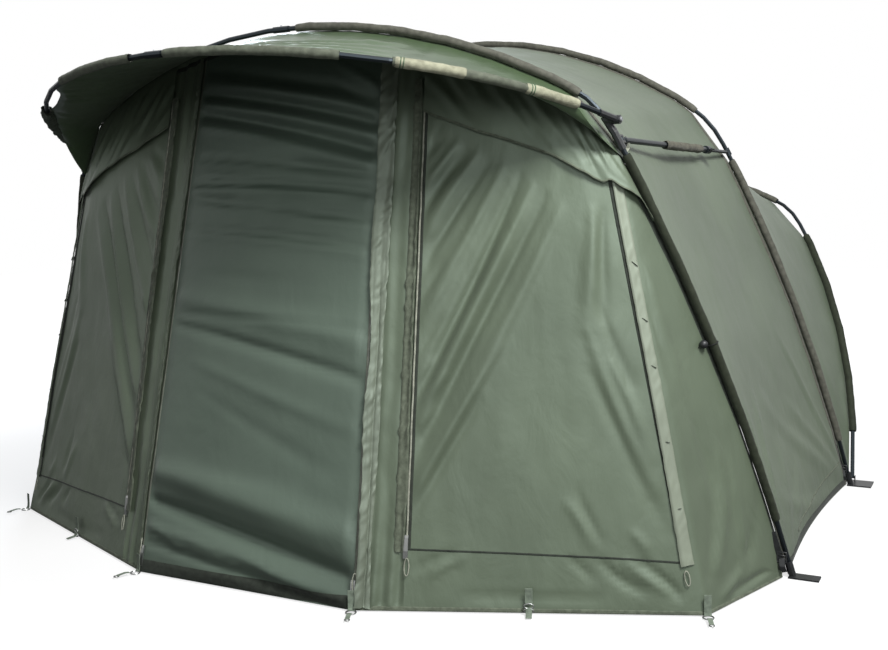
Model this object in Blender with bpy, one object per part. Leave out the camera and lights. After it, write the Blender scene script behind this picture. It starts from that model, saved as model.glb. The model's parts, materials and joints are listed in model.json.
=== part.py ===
# Two-person dome tent of the kind used for fishing: three fanned pole arches,
# a hinged brow pole over the door, two tension bars and a coated cloth skin.
# Units are metres, +Z is up, the door faces -Y and +X is to the right of the door
# as seen from outside.
# Every size below can be changed by itself; the shapes are worked out from them.

import math

import bmesh
import bpy
from mathutils import Matrix, Vector

# Ground plan, measured from the middle of the line between the front feet
FRONT_FOOT_OUT = 1.500
MIDDLE_FOOT_OUT = 1.510
MIDDLE_FOOT_BACK = 1.211
REAR_PIVOT_SPACING = 0.048
DOOR_CORNER_OUT = 0.406
DOOR_CORNER_AHEAD = 0.825
FRONT_CORNER_OUT = 1.344
FRONT_CORNER_AHEAD = 0.436
REAR_CORNER_OUT = 1.180
REAR_CORNER_BACK = 2.120
REAR_HEM_BACK = 2.450

PLAN_CENTRE_BACK = 0.6915

# Front arch
FRONT_SHOULDER_OUT = 1.000
FRONT_SHOULDER_UP = 1.500
FRONT_LEG_BOW = 0.045
FRONT_ROOF_RISE = 0.300
FRONT_LEG_LEAN = 14.0
FRONT_ROOF_LEAN = 20.0

# Middle arch
MIDDLE_SHOULDER_OUT = 1.010
MIDDLE_SHOULDER_UP = 1.500
MIDDLE_LEG_BOW = 0.050
MIDDLE_ROOF_RISE = 0.370
MIDDLE_LEAN = 12.0

# Rear arch, which leans back
REAR_SHOULDER_OUT = 1.134
REAR_SHOULDER_UP = 1.270
REAR_LEG_BOW = 0.085
REAR_ROOF_RISE = 0.300
REAR_LEAN = -30.0

# Pole stock, its bends and the cloth tubes sewn round it
POLE_RADIUS = 0.008
BEND_RUN = 0.100
RUNNING_GAP = 0.0004
SLEEVE_GAP = 0.0007
SLEEVE_WALL = 0.0030
FOOT_BARE_LENGTH = 0.200
LEG_BARE_LENGTH = 0.200
ROOF_BARE_LENGTH = 0.040
FRONT_ROOF_BARE_LENGTH = 0.025
FRONT_SLEEVE_STOP_OUT = 0.030
FRONT_SLEEVE_RESTART_OUT = 0.550

# Push-button joints in the poles
COLLAR_LENGTH = 0.060
COLLAR_WALL = 0.0022
BUTTON_RADIUS = 0.0035
BUTTON_PROUD = 0.0030
BUTTON_DEPTH = 0.0045
BUTTON_WELL_DEPTH = 0.0080

# Brow pole, hinged at the front shoulders
BROW_PIVOT_DROP = 0.085
BROW_REACH = 0.740
BROW_ELEVATION = 15.0
BROW_POLE_START = 0.020
BROW_RIGHT_SLEEVE_IN = 0.008
BROW_LEFT_SLEEVE_IN = 0.120
BROW_MIDDLE_BARE_IN = 0.500
BROW_MIDDLE_BARE_OUT = 0.620
BROW_END_BARE_OUT = 0.975

# Shoulder fittings
BLOCK_WALL = 0.0032
BLOCK_LENGTH = 0.110
BOSS_RADIUS = 0.0130
BOSS_LENGTH = 0.0205
TRIM_RADIUS = 0.0210
KNUCKLE_THICKNESS = 0.0215
SOCKET_LENGTH = 0.075
BOLT_RADIUS = 0.0040
BOLT_HEAD_RADIUS = 0.0085
BOLT_HEAD_HEIGHT = 0.0050

# Tension bars between the front and middle arches
BAR_DROP = 0.150
BAR_RADIUS = 0.0090
BAR_BORE_RADIUS = 0.0072
BAR_EYE_RADIUS = 0.0090
BAR_EYE_THICKNESS = 0.0120
BAR_EYE_SET_BACK = 0.026
BAR_NECK_RADIUS = 0.0056
BAR_NECK_LENGTH = 0.020
BAR_PIN_RADIUS = 0.0035
LUG_THICKNESS = 0.0060
BAR_WRAP_CLEARANCE = 0.070
BAR_WRAP_LENGTH = 0.420
BAR_WRAP_WALL = 0.0055
BAR_OUTER_LENGTH = 0.960
BAR_LOCK_RADIUS = 0.0140
BAR_LOCK_LENGTH = 0.045
BAR_BORE_DEPTH = 0.560
BAR_INNER_RADIUS = 0.0065
BAR_INNER_OVERLAP = 0.300
SCREW_RADIUS = 0.0030
WING_SPAN = 0.040
WING_HEIGHT = 0.016
WING_THICKNESS = 0.0050
HOOK_WALL = 0.0040
HOOK_HEIGHT = 0.030

# Feet
PLATE_THICKNESS = 0.0050
PLATE_REACH = 0.080
PLATE_HALF_WIDTH = 0.024
FOOT_SOCKET_LENGTH = 0.055
EAR_THICKNESS = 0.0030
REAR_PIVOT_HEIGHT = 0.020
TRUNNION_RADIUS = 0.0040

# Cloth
CLOTH = 0.0020
SEAM_GAP = 0.0004
SEAM_DROP = 0.0018
LAYER_GAP = 0.0012
REAR_LAYER_SHARE = 0.76
SEAM_HALF_STEP = 0.0004
PANEL_EDGE_STEP = 0.0006
HEM_HEIGHT = 0.0045
CANOPY_SAG_SHARE = 0.024
GORE_SAG_SHARE = 0.028
REAR_SAG = 0.030
BROW_SAG = 0.020
DOOR_TOP_OUT = 0.345
PILLAR_WIDTH = 0.150
PILLAR_TOP_OUT = 0.485
OUTER_ZIP_FROM_CORNER = 0.036
OUTER_ZIP_TOP_HEIGHT = 1.380
CORNER_FAN_DROP = 0.160
FOOT_FAN_HEIGHT = 0.060
FOOT_FAN_STEP = 0.030

# Zip sliders and peg rings
SLIDER_WIDTH = 0.014
SLIDER_LENGTH = 0.024
SLIDER_THICKNESS = 0.0055
SLIDER_GAP = 0.0004
KEEL_WIDTH = 0.0030
PULL_LENGTH = 0.045
PULL_THICKNESS = 0.0025
WINDOW_SLIDER_HEIGHT = 0.190
DOOR_SLIDER_HEIGHT = 0.060
RING_RADIUS = 0.0150
RING_WIRE_RADIUS = 0.0022
RING_GAP = 0.0005

# How finely round shapes are drawn
POLE_SIDES = 8
TURNED_SIDES = 16
LEG_STEPS = 6
BEND_STEPS = 3
ROOF_STEPS = 13
SEAM_STEPS = 12
BROW_COVER_STEPS = 20
BROW_COVER_ROWS = 4
DOOR_COLUMN_FILL = 2
WRAP_SIDES = 12
CUP_STEPS = 6
WALL_ROWS = 12
WINDOW_STEPS = 9
FOOT_FAN_STEPS = 5
DOOR_TOP_STEPS = 4
REAR_HEM_STEPS = 6
REAR_WALL_ROWS = 6
CANOPY_ROWS = 6
GORE_ROWS = 5
SLIDER_MARKS = 8
CUT_OVERRUN = 0.010

OUTER_SLEEVE_RADIUS = POLE_RADIUS + SLEEVE_GAP + SLEEVE_WALL
CORNER_FAN_HEIGHT = OUTER_ZIP_TOP_HEIGHT - CORNER_FAN_DROP
BROW_SIDE_STEP = BOSS_LENGTH + RUNNING_GAP + KNUCKLE_THICKNESS / 2
UP = Vector((0, 0, 1))
BACK = Vector((0, 1, 0))
OUT = Vector((1, 0, 0))


def clear_scene():
    for old in list(bpy.data.objects):
        bpy.data.objects.remove(old, do_unlink=True)


def material(name, colour, roughness, metallic):
    made = bpy.data.materials.new(name)
    made.use_nodes = True
    shader = made.node_tree.nodes["Principled BSDF"]
    shader.inputs["Base Color"].default_value = (*colour, 1)
    shader.inputs["Roughness"].default_value = roughness
    shader.inputs["Metallic"].default_value = metallic
    return made


POLE_FINISH = ((0.035, 0.042, 0.048), 0.32, 0.75)
MOULDED_FINISH = ((0.012, 0.014, 0.016), 0.45, 0.0)
BOLT_FINISH = ((0.55, 0.57, 0.60), 0.25, 1.0)
SLEEVE_FINISH = ((0.130, 0.135, 0.100), 0.75, 0.0)
CLOTH_FINISH = ((0.105, 0.125, 0.095), 0.55, 0.0)
DOOR_FINISH = ((0.095, 0.120, 0.100), 0.55, 0.0)
WRAP_FINISH = ((0.230, 0.220, 0.165), 0.80, 0.0)
ZIP_FINISH = ((0.180, 0.180, 0.170), 0.35, 0.9)


def link(name, mesh, finish):
    piece = bpy.data.objects.new(name, mesh)
    piece.data.materials.append(material(name, *finish))
    bpy.context.scene.collection.objects.link(piece)
    return piece


def mesh_piece(name, points, faces, finish):
    mesh = bpy.data.meshes.new(name)
    mesh.from_pydata([tuple(p) for p in points], [], faces)
    shape = bmesh.new()
    shape.from_mesh(mesh)
    bmesh.ops.recalc_face_normals(shape, faces=shape.faces)
    shape.to_mesh(mesh)
    shape.free()
    return link(name, mesh, finish)


def smooth(piece, angle=40.0):
    piece.data.shade_smooth()
    piece.data.set_sharp_from_angle(angle=math.radians(angle))
    return piece


def cutter(piece):
    piece.hide_render = True
    piece.display_type = "WIRE"
    return piece


def combine(piece, tool, how):
    step = piece.modifiers.new(how.lower(), "BOOLEAN")
    step.operation = how
    step.solver = "EXACT"
    step.object = cutter(tool)


def turn_about(point, names):
    # Puts the origin of moving pieces on the line that they turn about or slide along.
    for name in names:
        piece = bpy.data.objects[name]
        piece.data.transform(Matrix.Translation(-point))
        piece.location = point


def mirrored(point):
    return Vector((-point.x, point.y, point.z))


# Arcs and paths


def arc_between(start, end, bow, steps):
    # Circular arc in a plane, bulging to the right of the way from start to end.
    half = (end - start).length / 2
    radius = (half * half + bow * bow) / (2 * bow)
    along = (end - start).normalized()
    side = Vector((along.y, -along.x))
    centre = (start + end) / 2 + side * (bow - radius)
    reach = math.asin(min(1, half / radius))
    points = []
    for step in range(steps + 1):
        angle = reach * (2 * step / steps - 1)
        points.append(centre + along * (radius * math.sin(angle)) + side * (radius * math.cos(angle)))
    return points


def path_lengths(path):
    total = [0.0]
    for before, after in zip(path, path[1:]):
        total.append(total[-1] + (after - before).length)
    return total


def point_at(path, distance):
    marks = path_lengths(path)
    distance = max(0, min(distance, marks[-1]))
    for index in range(len(path) - 1):
        if distance <= marks[index + 1]:
            share = (distance - marks[index]) / (marks[index + 1] - marks[index])
            return path[index].lerp(path[index + 1], share)
    return path[-1].copy()


def path_slice(path, start, end):
    marks = path_lengths(path)
    close = POLE_RADIUS / 4
    inside = [p for p, mark in zip(path, marks) if start + close < mark < end - close]
    return [point_at(path, start)] + inside + [point_at(path, end)]


def resample(path, steps):
    total = path_lengths(path)[-1]
    return [point_at(path, total * step / steps) for step in range(steps + 1)]


def distance_where(path, measure, value):
    # First place along the path where the measure passes the value.
    marks = path_lengths(path)
    for index in range(len(path) - 1):
        low, high = measure(path[index]), measure(path[index + 1])
        if (low - value) * (high - value) <= 0 and low != high:
            return marks[index] + (marks[index + 1] - marks[index]) * (value - low) / (high - low)
    return marks[-1]


def out_of(point):
    return point.x


def height_of(point):
    return point.z


def as_is(point):
    return point


class Arch:
    """One pole arch: a bowed leg, a bend at the shoulder and a curved roof."""

    def __init__(self, foot_out, foot_back, foot_up, shoulder, leg_bow, rise, lean, roof_lean, bare):
        self.foot_back = foot_back
        self.foot_up = foot_up
        self.shoulder = Vector(shoulder)
        self.lean = math.radians(lean)
        self.roof_lean = math.radians(roof_lean)
        leg = arc_between(Vector((foot_out, 0)), self.shoulder, leg_bow, LEG_STEPS)
        across = Vector((-self.shoulder.x, self.shoulder.y))
        roof = arc_between(self.shoulder, across, rise, ROOF_STEPS)
        leg_end = path_lengths(leg)[-1] - BEND_RUN
        roof_length = path_lengths(roof)[-1]
        lower = path_slice(leg, 0, leg_end)
        upper = path_slice(roof, BEND_RUN, roof_length - BEND_RUN)
        bend = []
        for step in range(1, BEND_STEPS):
            share = step / BEND_STEPS
            first = lower[-1].lerp(self.shoulder, share)
            second = self.shoulder.lerp(upper[0], share)
            bend.append(first.lerp(second, share))
        right = lower + bend + upper[:1]
        left = [Vector((-p.x, p.y)) for p in reversed(right)]
        self.flat = right + upper[1:-1] + left
        self.path = [self.place(p) for p in self.flat]
        self.length = path_lengths(self.path)[-1]
        bend_middle = right[len(lower) + len(bend) // 2]
        self.shoulder_at = distance_where(self.path, out_of, bend_middle.x)
        self.leg_sleeve_end = self.shoulder_at - LEG_BARE_LENGTH
        self.roof_sleeve_start = self.shoulder_at + bare

    def place(self, flat):
        low = min(flat.y, self.shoulder.y)
        high = max(flat.y - self.shoulder.y, 0)
        back = -low * math.sin(self.lean) - high * math.sin(self.roof_lean)
        up = low * math.cos(self.lean) + high * math.cos(self.roof_lean)
        return Vector((flat.x, self.foot_back + back, self.foot_up + up))

    def inward(self, depth):
        # The arch drawn again, closer to the inside of the tent by the depth.
        moved = []
        for index, flat in enumerate(self.flat):
            before = self.flat[max(index - 1, 0)]
            after = self.flat[min(index + 1, len(self.flat) - 1)]
            way = (after - before).normalized()
            moved.append(self.place(flat + Vector((-way.y, way.x)) * depth))
        return moved

    def seam(self, layer, side):
        # The line where a cloth edge is sewn in under the pole, as leg, chord and roof.
        depth = OUTER_SLEEVE_RADIUS + SEAM_DROP + layer * (CLOTH + LAYER_GAP)
        lean = Vector((0, math.cos(self.lean), math.sin(self.lean)))
        full = [p + lean * side for p in self.inward(depth)]
        hem = distance_where(full, height_of, HEM_HEIGHT) if full[0].z < HEM_HEIGHT else 0
        length = path_lengths(full)[-1]
        leg = resample(path_slice(full, hem, self.leg_sleeve_end), LEG_STEPS)
        roof = resample(path_slice(full, self.roof_sleeve_start, length - self.roof_sleeve_start), SEAM_STEPS)
        return leg + roof + [mirrored(p) for p in reversed(leg)]


FRONT = Arch(FRONT_FOOT_OUT, 0, 0, (FRONT_SHOULDER_OUT, FRONT_SHOULDER_UP), FRONT_LEG_BOW,
             FRONT_ROOF_RISE, FRONT_LEG_LEAN, FRONT_ROOF_LEAN, FRONT_ROOF_BARE_LENGTH)
MIDDLE = Arch(MIDDLE_FOOT_OUT, MIDDLE_FOOT_BACK, 0, (MIDDLE_SHOULDER_OUT, MIDDLE_SHOULDER_UP),
              MIDDLE_LEG_BOW, MIDDLE_ROOF_RISE, MIDDLE_LEAN, MIDDLE_LEAN, ROOF_BARE_LENGTH)
REAR = Arch(MIDDLE_FOOT_OUT, MIDDLE_FOOT_BACK + REAR_PIVOT_SPACING, REAR_PIVOT_HEIGHT,
            (REAR_SHOULDER_OUT, REAR_SHOULDER_UP), REAR_LEG_BOW, REAR_ROOF_RISE, REAR_LEAN,
            REAR_LEAN, ROOF_BARE_LENGTH)


# Tubes, pipes and turned pieces


def rings_along(path, radius, sides, reference):
    rings = []
    for index, centre in enumerate(path):
        before = path[max(index - 1, 0)]
        after = path[min(index + 1, len(path) - 1)]
        way = (after - before).normalized()
        first = reference.cross(way).normalized()
        second = way.cross(first)
        ring = []
        for side in range(sides):
            angle = 2 * math.pi * (side + 0.5) / sides
            ring.append(centre + first * (radius * math.cos(angle)) + second * (radius * math.sin(angle)))
        rings.append(ring)
    return rings


def loft(rings, closed):
    # Side walls between rings of equal size, with flat ends, or joined end to end.
    points = [p for ring in rings for p in ring]
    sides = len(rings[0])
    faces = []
    count = len(rings)
    for row in range(count if closed else count - 1):
        for side in range(sides):
            here, there = row * sides, (row + 1) % count * sides
            after = (side + 1) % sides
            faces.append((here + side, here + after, there + after, there + side))
    if not closed:
        faces.append(tuple(reversed(range(sides))))
        faces.append(tuple((count - 1) * sides + side for side in range(sides)))
    return points, faces


def rod(name, path, radius, finish, reference=BACK, sides=POLE_SIDES):
    return smooth(mesh_piece(name, *loft(rings_along(path, radius, sides, reference), False), finish))


def pipe(name, path, outer, inner, finish, reference=BACK, sides=POLE_SIDES):
    outside = rings_along(path, outer, sides, reference)
    inside = rings_along(path, inner, sides, reference)
    return smooth(mesh_piece(name, *loft(outside + inside[::-1], True), finish))


def turned(name, start, way, profile, finish, reference=UP, sides=TURNED_SIDES):
    # A turned solid: the profile lists (distance along the axis, radius).
    rings = []
    for distance, radius in profile:
        centre = start + way * distance
        first = reference.cross(way).normalized()
        second = way.cross(first)
        ring = []
        for side in range(sides):
            angle = 2 * math.pi * (side + 0.5) / sides
            ring.append(centre + first * (radius * math.cos(angle)) + second * (radius * math.sin(angle)))
        rings.append(ring)
    return smooth(mesh_piece(name, *loft(rings, False), finish))


def block(name, centre, half_sizes, axes, finish):
    points, faces = [], [(0, 1, 3, 2), (4, 6, 7, 5), (0, 4, 5, 1), (2, 3, 7, 6), (0, 2, 6, 4), (1, 5, 7, 3)]
    for x in (-1, 1):
        for y in (-1, 1):
            for z in (-1, 1):
                steps = [axis * (half * sign) for axis, half, sign in zip(axes, half_sizes, (x, y, z))]
                points.append(centre + steps[0] + steps[1] + steps[2])
    return mesh_piece(name, points, faces, finish)


# Cloth


def cloth(name, grid, finish, fold=None):
    # A sheet drawn through a grid of points, with its folds, given a thickness inwards.
    rows, columns = len(grid), len(grid[0])
    points = []
    for row in range(rows):
        for column in range(columns):
            here = grid[row][column]
            if fold:
                across = grid[row][min(column + 1, columns - 1)] - grid[row][max(column - 1, 0)]
                up = grid[min(row + 1, rows - 1)][column] - grid[max(row - 1, 0)][column]
                out = across.cross(up).normalized()
                here = here - out * fold(column / (columns - 1), row / (rows - 1))
            points.append(here)
    faces = []
    for row in range(rows - 1):
        for column in range(columns - 1):
            corner = row * columns + column
            faces.append((corner, corner + 1, corner + columns + 1, corner + columns))
    mesh = bpy.data.meshes.new(name)
    mesh.from_pydata([tuple(p) for p in points], [], faces)
    piece = link(name, mesh, finish)
    thick = piece.modifiers.new("thickness", "SOLIDIFY")
    thick.thickness = CLOTH
    thick.offset = -1
    piece.data.shade_smooth()
    return piece


def between(first, second, rows, sag_share):
    # Rows of points from one seam to the other, hanging in towards the inside.
    grid = []
    middle = Vector((0, (first[0].y + second[0].y) / 2, 0))
    for row in range(rows + 1):
        share = row / rows
        line = []
        for start, end in zip(first, second):
            point = start.lerp(end, share)
            way = (middle - point).normalized()
            sag = sag_share * (end - start).length
            line.append(point + way * (sag * 4 * share * (1 - share)))
        grid.append(line[::-1])
    return grid


def columns_between(columns, rows):
    # Rows of points up straight columns, each given by its bottom and its top.
    return [[low.lerp(high, row / rows) for low, high in columns] for row in range(rows + 1)]


def spread(keys, counts):
    # Straight columns filled in between the key ones, low and high ends alike.
    columns = [keys[0]]
    for (low, high), (next_low, next_high), count in zip(keys, keys[1:], counts):
        for step in range(1, count + 1):
            share = step / count
            columns.append((low.lerp(next_low, share), high.lerp(next_high, share)))
    return columns


def envelope(across, up):
    return math.sqrt(max(0, math.sin(math.pi * across) * math.sin(math.pi * up)))


def ridges(across, up, lines):
    # Each line has a slope and a place, given as shares, and a depth and half width.
    depth = 0
    for slope_share, place_share, size, width_share in lines:
        offset = (across + slope_share * up - place_share) / width_share
        depth += size * math.exp(-offset * offset)
    return depth


DOOR_FOLD_DEPTH = 0.022
DOOR_FOLD_SHARES = (
    (-0.85, -0.35, DOOR_FOLD_DEPTH, 0.10),
    (-0.70, 0.05, DOOR_FOLD_DEPTH, 0.09),
    (0.95, 1.30, DOOR_FOLD_DEPTH, 0.10),
    (2.40, 0.85, DOOR_FOLD_DEPTH, 0.16),
)


def door_fold(across, up):
    return envelope(across, up) * ridges(across, up, DOOR_FOLD_SHARES)


def front_columns():
    # Bottom and top of every straight line in the right half of the front wall.
    seam = FRONT.seam(1, 0)
    half = seam[len(seam) // 2:]
    right = [mirrored(p) for p in half]
    door_low = Vector((DOOR_CORNER_OUT, -DOOR_CORNER_AHEAD, HEM_HEIGHT))
    corner_low = Vector((FRONT_CORNER_OUT, -FRONT_CORNER_AHEAD, HEM_HEIGHT))
    way = (corner_low - door_low).normalized()
    pillar_low = door_low + way * PILLAR_WIDTH
    zip_low = corner_low - way * OUTER_ZIP_FROM_CORNER
    foot_low = right[-1].lerp(corner_low, FOOT_FAN_STEP / (corner_low - right[-1]).length)
    tops = [
        point_at(right, distance_where(right, out_of, DOOR_TOP_OUT)),
        point_at(right, distance_where(right, out_of, PILLAR_TOP_OUT)),
        point_at(right, distance_where(right, height_of, OUTER_ZIP_TOP_HEIGHT)),
        point_at(right, distance_where(right, height_of, CORNER_FAN_HEIGHT)),
        point_at(right, distance_where(right, height_of, FOOT_FAN_HEIGHT)),
    ]
    return list(zip([door_low, pillar_low, zip_low, corner_low, foot_low], tops)), right


def window_columns(keys, seam):
    # Between the pillar and the outer zip the tops follow the arch itself.
    start = distance_where(seam, out_of, PILLAR_TOP_OUT)
    end = distance_where(seam, height_of, OUTER_ZIP_TOP_HEIGHT)
    columns = []
    for step in range(WINDOW_STEPS + 1):
        share = step / WINDOW_STEPS
        low = keys[1][0].lerp(keys[2][0], share)
        columns.append((low, point_at(seam, start + (end - start) * share)))
    fan_start = distance_where(seam, height_of, CORNER_FAN_HEIGHT)
    fan = [(keys[2][0].lerp(keys[3][0], 0.5), point_at(seam, (end + fan_start) / 2)), keys[3]]
    fan_end = distance_where(seam, height_of, FOOT_FAN_HEIGHT)
    for step in range(1, FOOT_FAN_STEPS + 1):
        share = step / FOOT_FAN_STEPS
        low = keys[3][0].lerp(keys[4][0], share)
        fan.append((low, point_at(seam, fan_start + (fan_end - fan_start) * share)))
    return columns + fan


def mirror_columns(columns):
    return [(mirrored(low), mirrored(high)) for low, high in reversed(columns)]


def build_front_wall():
    keys, seam = front_columns()
    rows = WALL_ROWS
    pillar = spread(keys[:2], [2])
    wall = window_columns(keys, seam)
    top = []
    for step in range(1, DOOR_TOP_STEPS + 1):
        place = distance_where(seam, out_of, DOOR_TOP_OUT * step / DOOR_TOP_STEPS)
        top.append(point_at(seam, place))
    door = []
    centre = point_at(seam, 0)
    low_edge = keys[0][0]
    tops = [mirrored(p) for p in reversed(top)] + [centre] + top
    for step, high in enumerate(tops):
        share = 2 * step / (len(tops) - 1) - 1
        door.append((Vector((low_edge.x * share, low_edge.y, low_edge.z)), high))
    zips = [
        ("door", keys[0], door[-2], keys[1], DOOR_SLIDER_HEIGHT),
        ("window_inner", keys[1], keys[0], wall[1], WINDOW_SLIDER_HEIGHT),
        ("window_outer", keys[2], wall[WINDOW_STEPS - 1], wall[WINDOW_STEPS + 1], WINDOW_SLIDER_HEIGHT),
    ]
    door = seam_step(door)
    pillar = seam_step(pillar)
    wall = seam_step(wall, last=False)
    cloth("door", columns_between(fill(door, DOOR_COLUMN_FILL), rows), DOOR_FINISH, door_fold)
    cloth("pillar_right", columns_between(pillar, rows), CLOTH_FINISH)
    cloth("pillar_left", columns_between(mirror_columns(pillar), rows), CLOTH_FINISH)
    cloth("front_wall_right", columns_between(wall, rows), CLOTH_FINISH)
    cloth("front_wall_left", columns_between(mirror_columns(wall), rows), CLOTH_FINISH)
    return keys, zips


def fill(columns, count):
    return spread(columns, [count] * (len(columns) - 1))


def seam_step(columns, first=True, last=True):
    # Draws the outer columns in a little, so that neighbouring cloths don't overlap.
    moved = list(columns)
    for index, beside, wanted in ((0, 1, first), (-1, -2, last)):
        if wanted:
            low, high = columns[index]
            next_low, next_high = columns[beside]
            low_way = (next_low - low).normalized()
            high_way = (next_high - high).normalized()
            moved[index] = (low + low_way * PANEL_EDGE_STEP, high + high_way * PANEL_EDGE_STEP)
    return moved


def build_rear_wall():
    seam = REAR.seam(REAR_LAYER_SHARE, SEAM_HALF_STEP)
    corner = Vector((REAR_CORNER_OUT, REAR_CORNER_BACK, HEM_HEIGHT))
    centre = Vector((0, REAR_HEM_BACK, HEM_HEIGHT))
    half = seam[:len(seam) // 2 + 1]
    start = distance_where(half, height_of, FOOT_FAN_HEIGHT)
    middle = distance_where(half, out_of, REAR_CORNER_OUT)
    end = path_lengths(half)[-1]
    foot_low = half[0].lerp(corner, FOOT_FAN_STEP / (corner - half[0]).length)
    foot_low.z = HEM_HEIGHT
    columns = []
    for low, high, first, last in ((foot_low, corner, start, middle), (corner, centre, middle, end)):
        for step in range(REAR_HEM_STEPS):
            share = step / REAR_HEM_STEPS
            columns.append((low.lerp(high, share), point_at(half, first + (last - first) * share)))
    columns.append((centre, half[-1]))
    columns += [(mirrored(low), mirrored(high)) for low, high in reversed(columns[:-1])]
    grid = columns_between(columns, REAR_WALL_ROWS)
    for row, line in enumerate(grid):
        share = row / (len(grid) - 1)
        for column, point in enumerate(line):
            across = column / (len(line) - 1)
            depth = REAR_SAG * 4 * share * (1 - share) * math.sin(math.pi * across)
            line[column] = point - BACK * depth
    cloth("rear_wall", grid, CLOTH_FINISH)


def build_skin():
    canopy_front = FRONT.seam(0, SEAM_HALF_STEP)
    canopy_back = MIDDLE.seam(0, -SEAM_HALF_STEP)
    cloth("canopy", between(canopy_front, canopy_back, CANOPY_ROWS, CANOPY_SAG_SHARE), CLOTH_FINISH)
    gore_front = MIDDLE.seam(REAR_LAYER_SHARE, SEAM_HALF_STEP)
    gore_back = REAR.seam(0, -SEAM_HALF_STEP)
    cloth("rear_gore", between(gore_front, gore_back, GORE_ROWS, GORE_SAG_SHARE), CLOTH_FINISH)
    build_rear_wall()


# Poles, their sleeves and the push buttons


def pole_with_button(name, path, button, button_way):
    # The half that carries the swaged collar and the well for its spring button.
    total = path_lengths(path)[-1]
    joint = rod(name, path, POLE_RADIUS, POLE_FINISH)
    collar_path = path_slice(path, total - COLLAR_LENGTH, total)
    collar = rod(name + "_collar", collar_path, POLE_RADIUS + COLLAR_WALL, POLE_FINISH)
    combine(joint, collar, "UNION")
    middle = point_at(path, total - COLLAR_LENGTH / 2)
    depth = POLE_RADIUS + COLLAR_WALL - BUTTON_WELL_DEPTH
    well = turned(name + "_well", middle + button_way * depth, button_way,
                  ((0, BUTTON_RADIUS + RUNNING_GAP), (BUTTON_WELL_DEPTH + CUT_OVERRUN, BUTTON_RADIUS + RUNNING_GAP)),
                  POLE_FINISH, reference=OUT, sides=TURNED_SIDES)
    combine(joint, well, "DIFFERENCE")
    start = middle + button_way * (POLE_RADIUS + COLLAR_WALL - BUTTON_DEPTH)
    length = BUTTON_DEPTH + BUTTON_PROUD
    turned(button, start, button_way,
           ((0, BUTTON_RADIUS), (length - BUTTON_RADIUS / 3, BUTTON_RADIUS), (length, BUTTON_RADIUS * 2 / 3)),
           BOLT_FINISH, reference=OUT, sides=TURNED_SIDES // 2)
    turn_about(start, [button])


def build_arch_poles():
    for name, arch in (("front_rib", FRONT), ("middle_rib", MIDDLE)):
        middle = arch.length / 2
        start = distance_where(arch.path, height_of, PLATE_THICKNESS + POLE_RADIUS / 2)
        rod(name + "_right", path_slice(arch.path, start, middle - SEAM_GAP / 2), POLE_RADIUS, POLE_FINISH)
        left = path_slice([mirrored(p) for p in arch.path], start, middle - SEAM_GAP / 2)
        if arch is FRONT:
            pole_with_button(name + "_left", left, "front_rib_button", UP)
        else:
            rod(name + "_left", left, POLE_RADIUS, POLE_FINISH)
    rear = rod("rear_rib", REAR.path, POLE_RADIUS, POLE_FINISH)
    for side in (1, -1):
        pivot = Vector((side * MIDDLE_FOOT_OUT, REAR.foot_back, REAR.foot_up))
        reach = POLE_RADIUS + RUNNING_GAP + EAR_THICKNESS
        pin = turned("rear_trunnion_%d" % side, pivot - OUT * reach, OUT,
                     ((0, TRUNNION_RADIUS), (2 * reach, TRUNNION_RADIUS)), POLE_FINISH)
        combine(rear, pin, "UNION")


def sleeve(name, path, reference=BACK):
    inner = POLE_RADIUS + SLEEVE_GAP
    return pipe(name, path, inner + SLEEVE_WALL, inner, SLEEVE_FINISH, reference)


def build_arch_sleeves():
    for name, arch in (("front", FRONT), ("middle", MIDDLE), ("rear", REAR)):
        for side, path in (("right", arch.path), ("left", [mirrored(p) for p in arch.path])):
            sleeve("%s_leg_sleeve_%s" % (name, side), path_slice(path, FOOT_BARE_LENGTH, arch.leg_sleeve_end))
        if arch is not FRONT:
            start = arch.roof_sleeve_start
            sleeve(name + "_roof_sleeve", path_slice(arch.path, start, arch.length - start))
    stop = distance_where(FRONT.path, out_of, FRONT_SLEEVE_STOP_OUT)
    restart = distance_where(FRONT.path, out_of, FRONT_SLEEVE_RESTART_OUT)
    sleeve("front_roof_sleeve_right", path_slice(FRONT.path, FRONT.roof_sleeve_start, stop))
    left = [mirrored(p) for p in FRONT.path]
    sleeve("front_roof_sleeve_left", path_slice(left, FRONT.roof_sleeve_start, restart))


# Brow: the hinged pole over the door and its cover


def brow_frame():
    pivot_at = FRONT.shoulder_at - BROW_PIVOT_DROP
    hub = point_at(FRONT.path, pivot_at)
    tilt = math.radians(BROW_ELEVATION)
    ahead = Vector((0, -math.cos(tilt), math.sin(tilt)))
    half = hub.x + BROW_SIDE_STEP
    flat = arc_between(Vector((half, 0)), Vector((-half, 0)), BROW_REACH, ROOF_STEPS + LEG_STEPS)
    path = [Vector((p.x, hub.y, hub.z)) + ahead * p.y for p in flat]
    return hub, ahead, path


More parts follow.
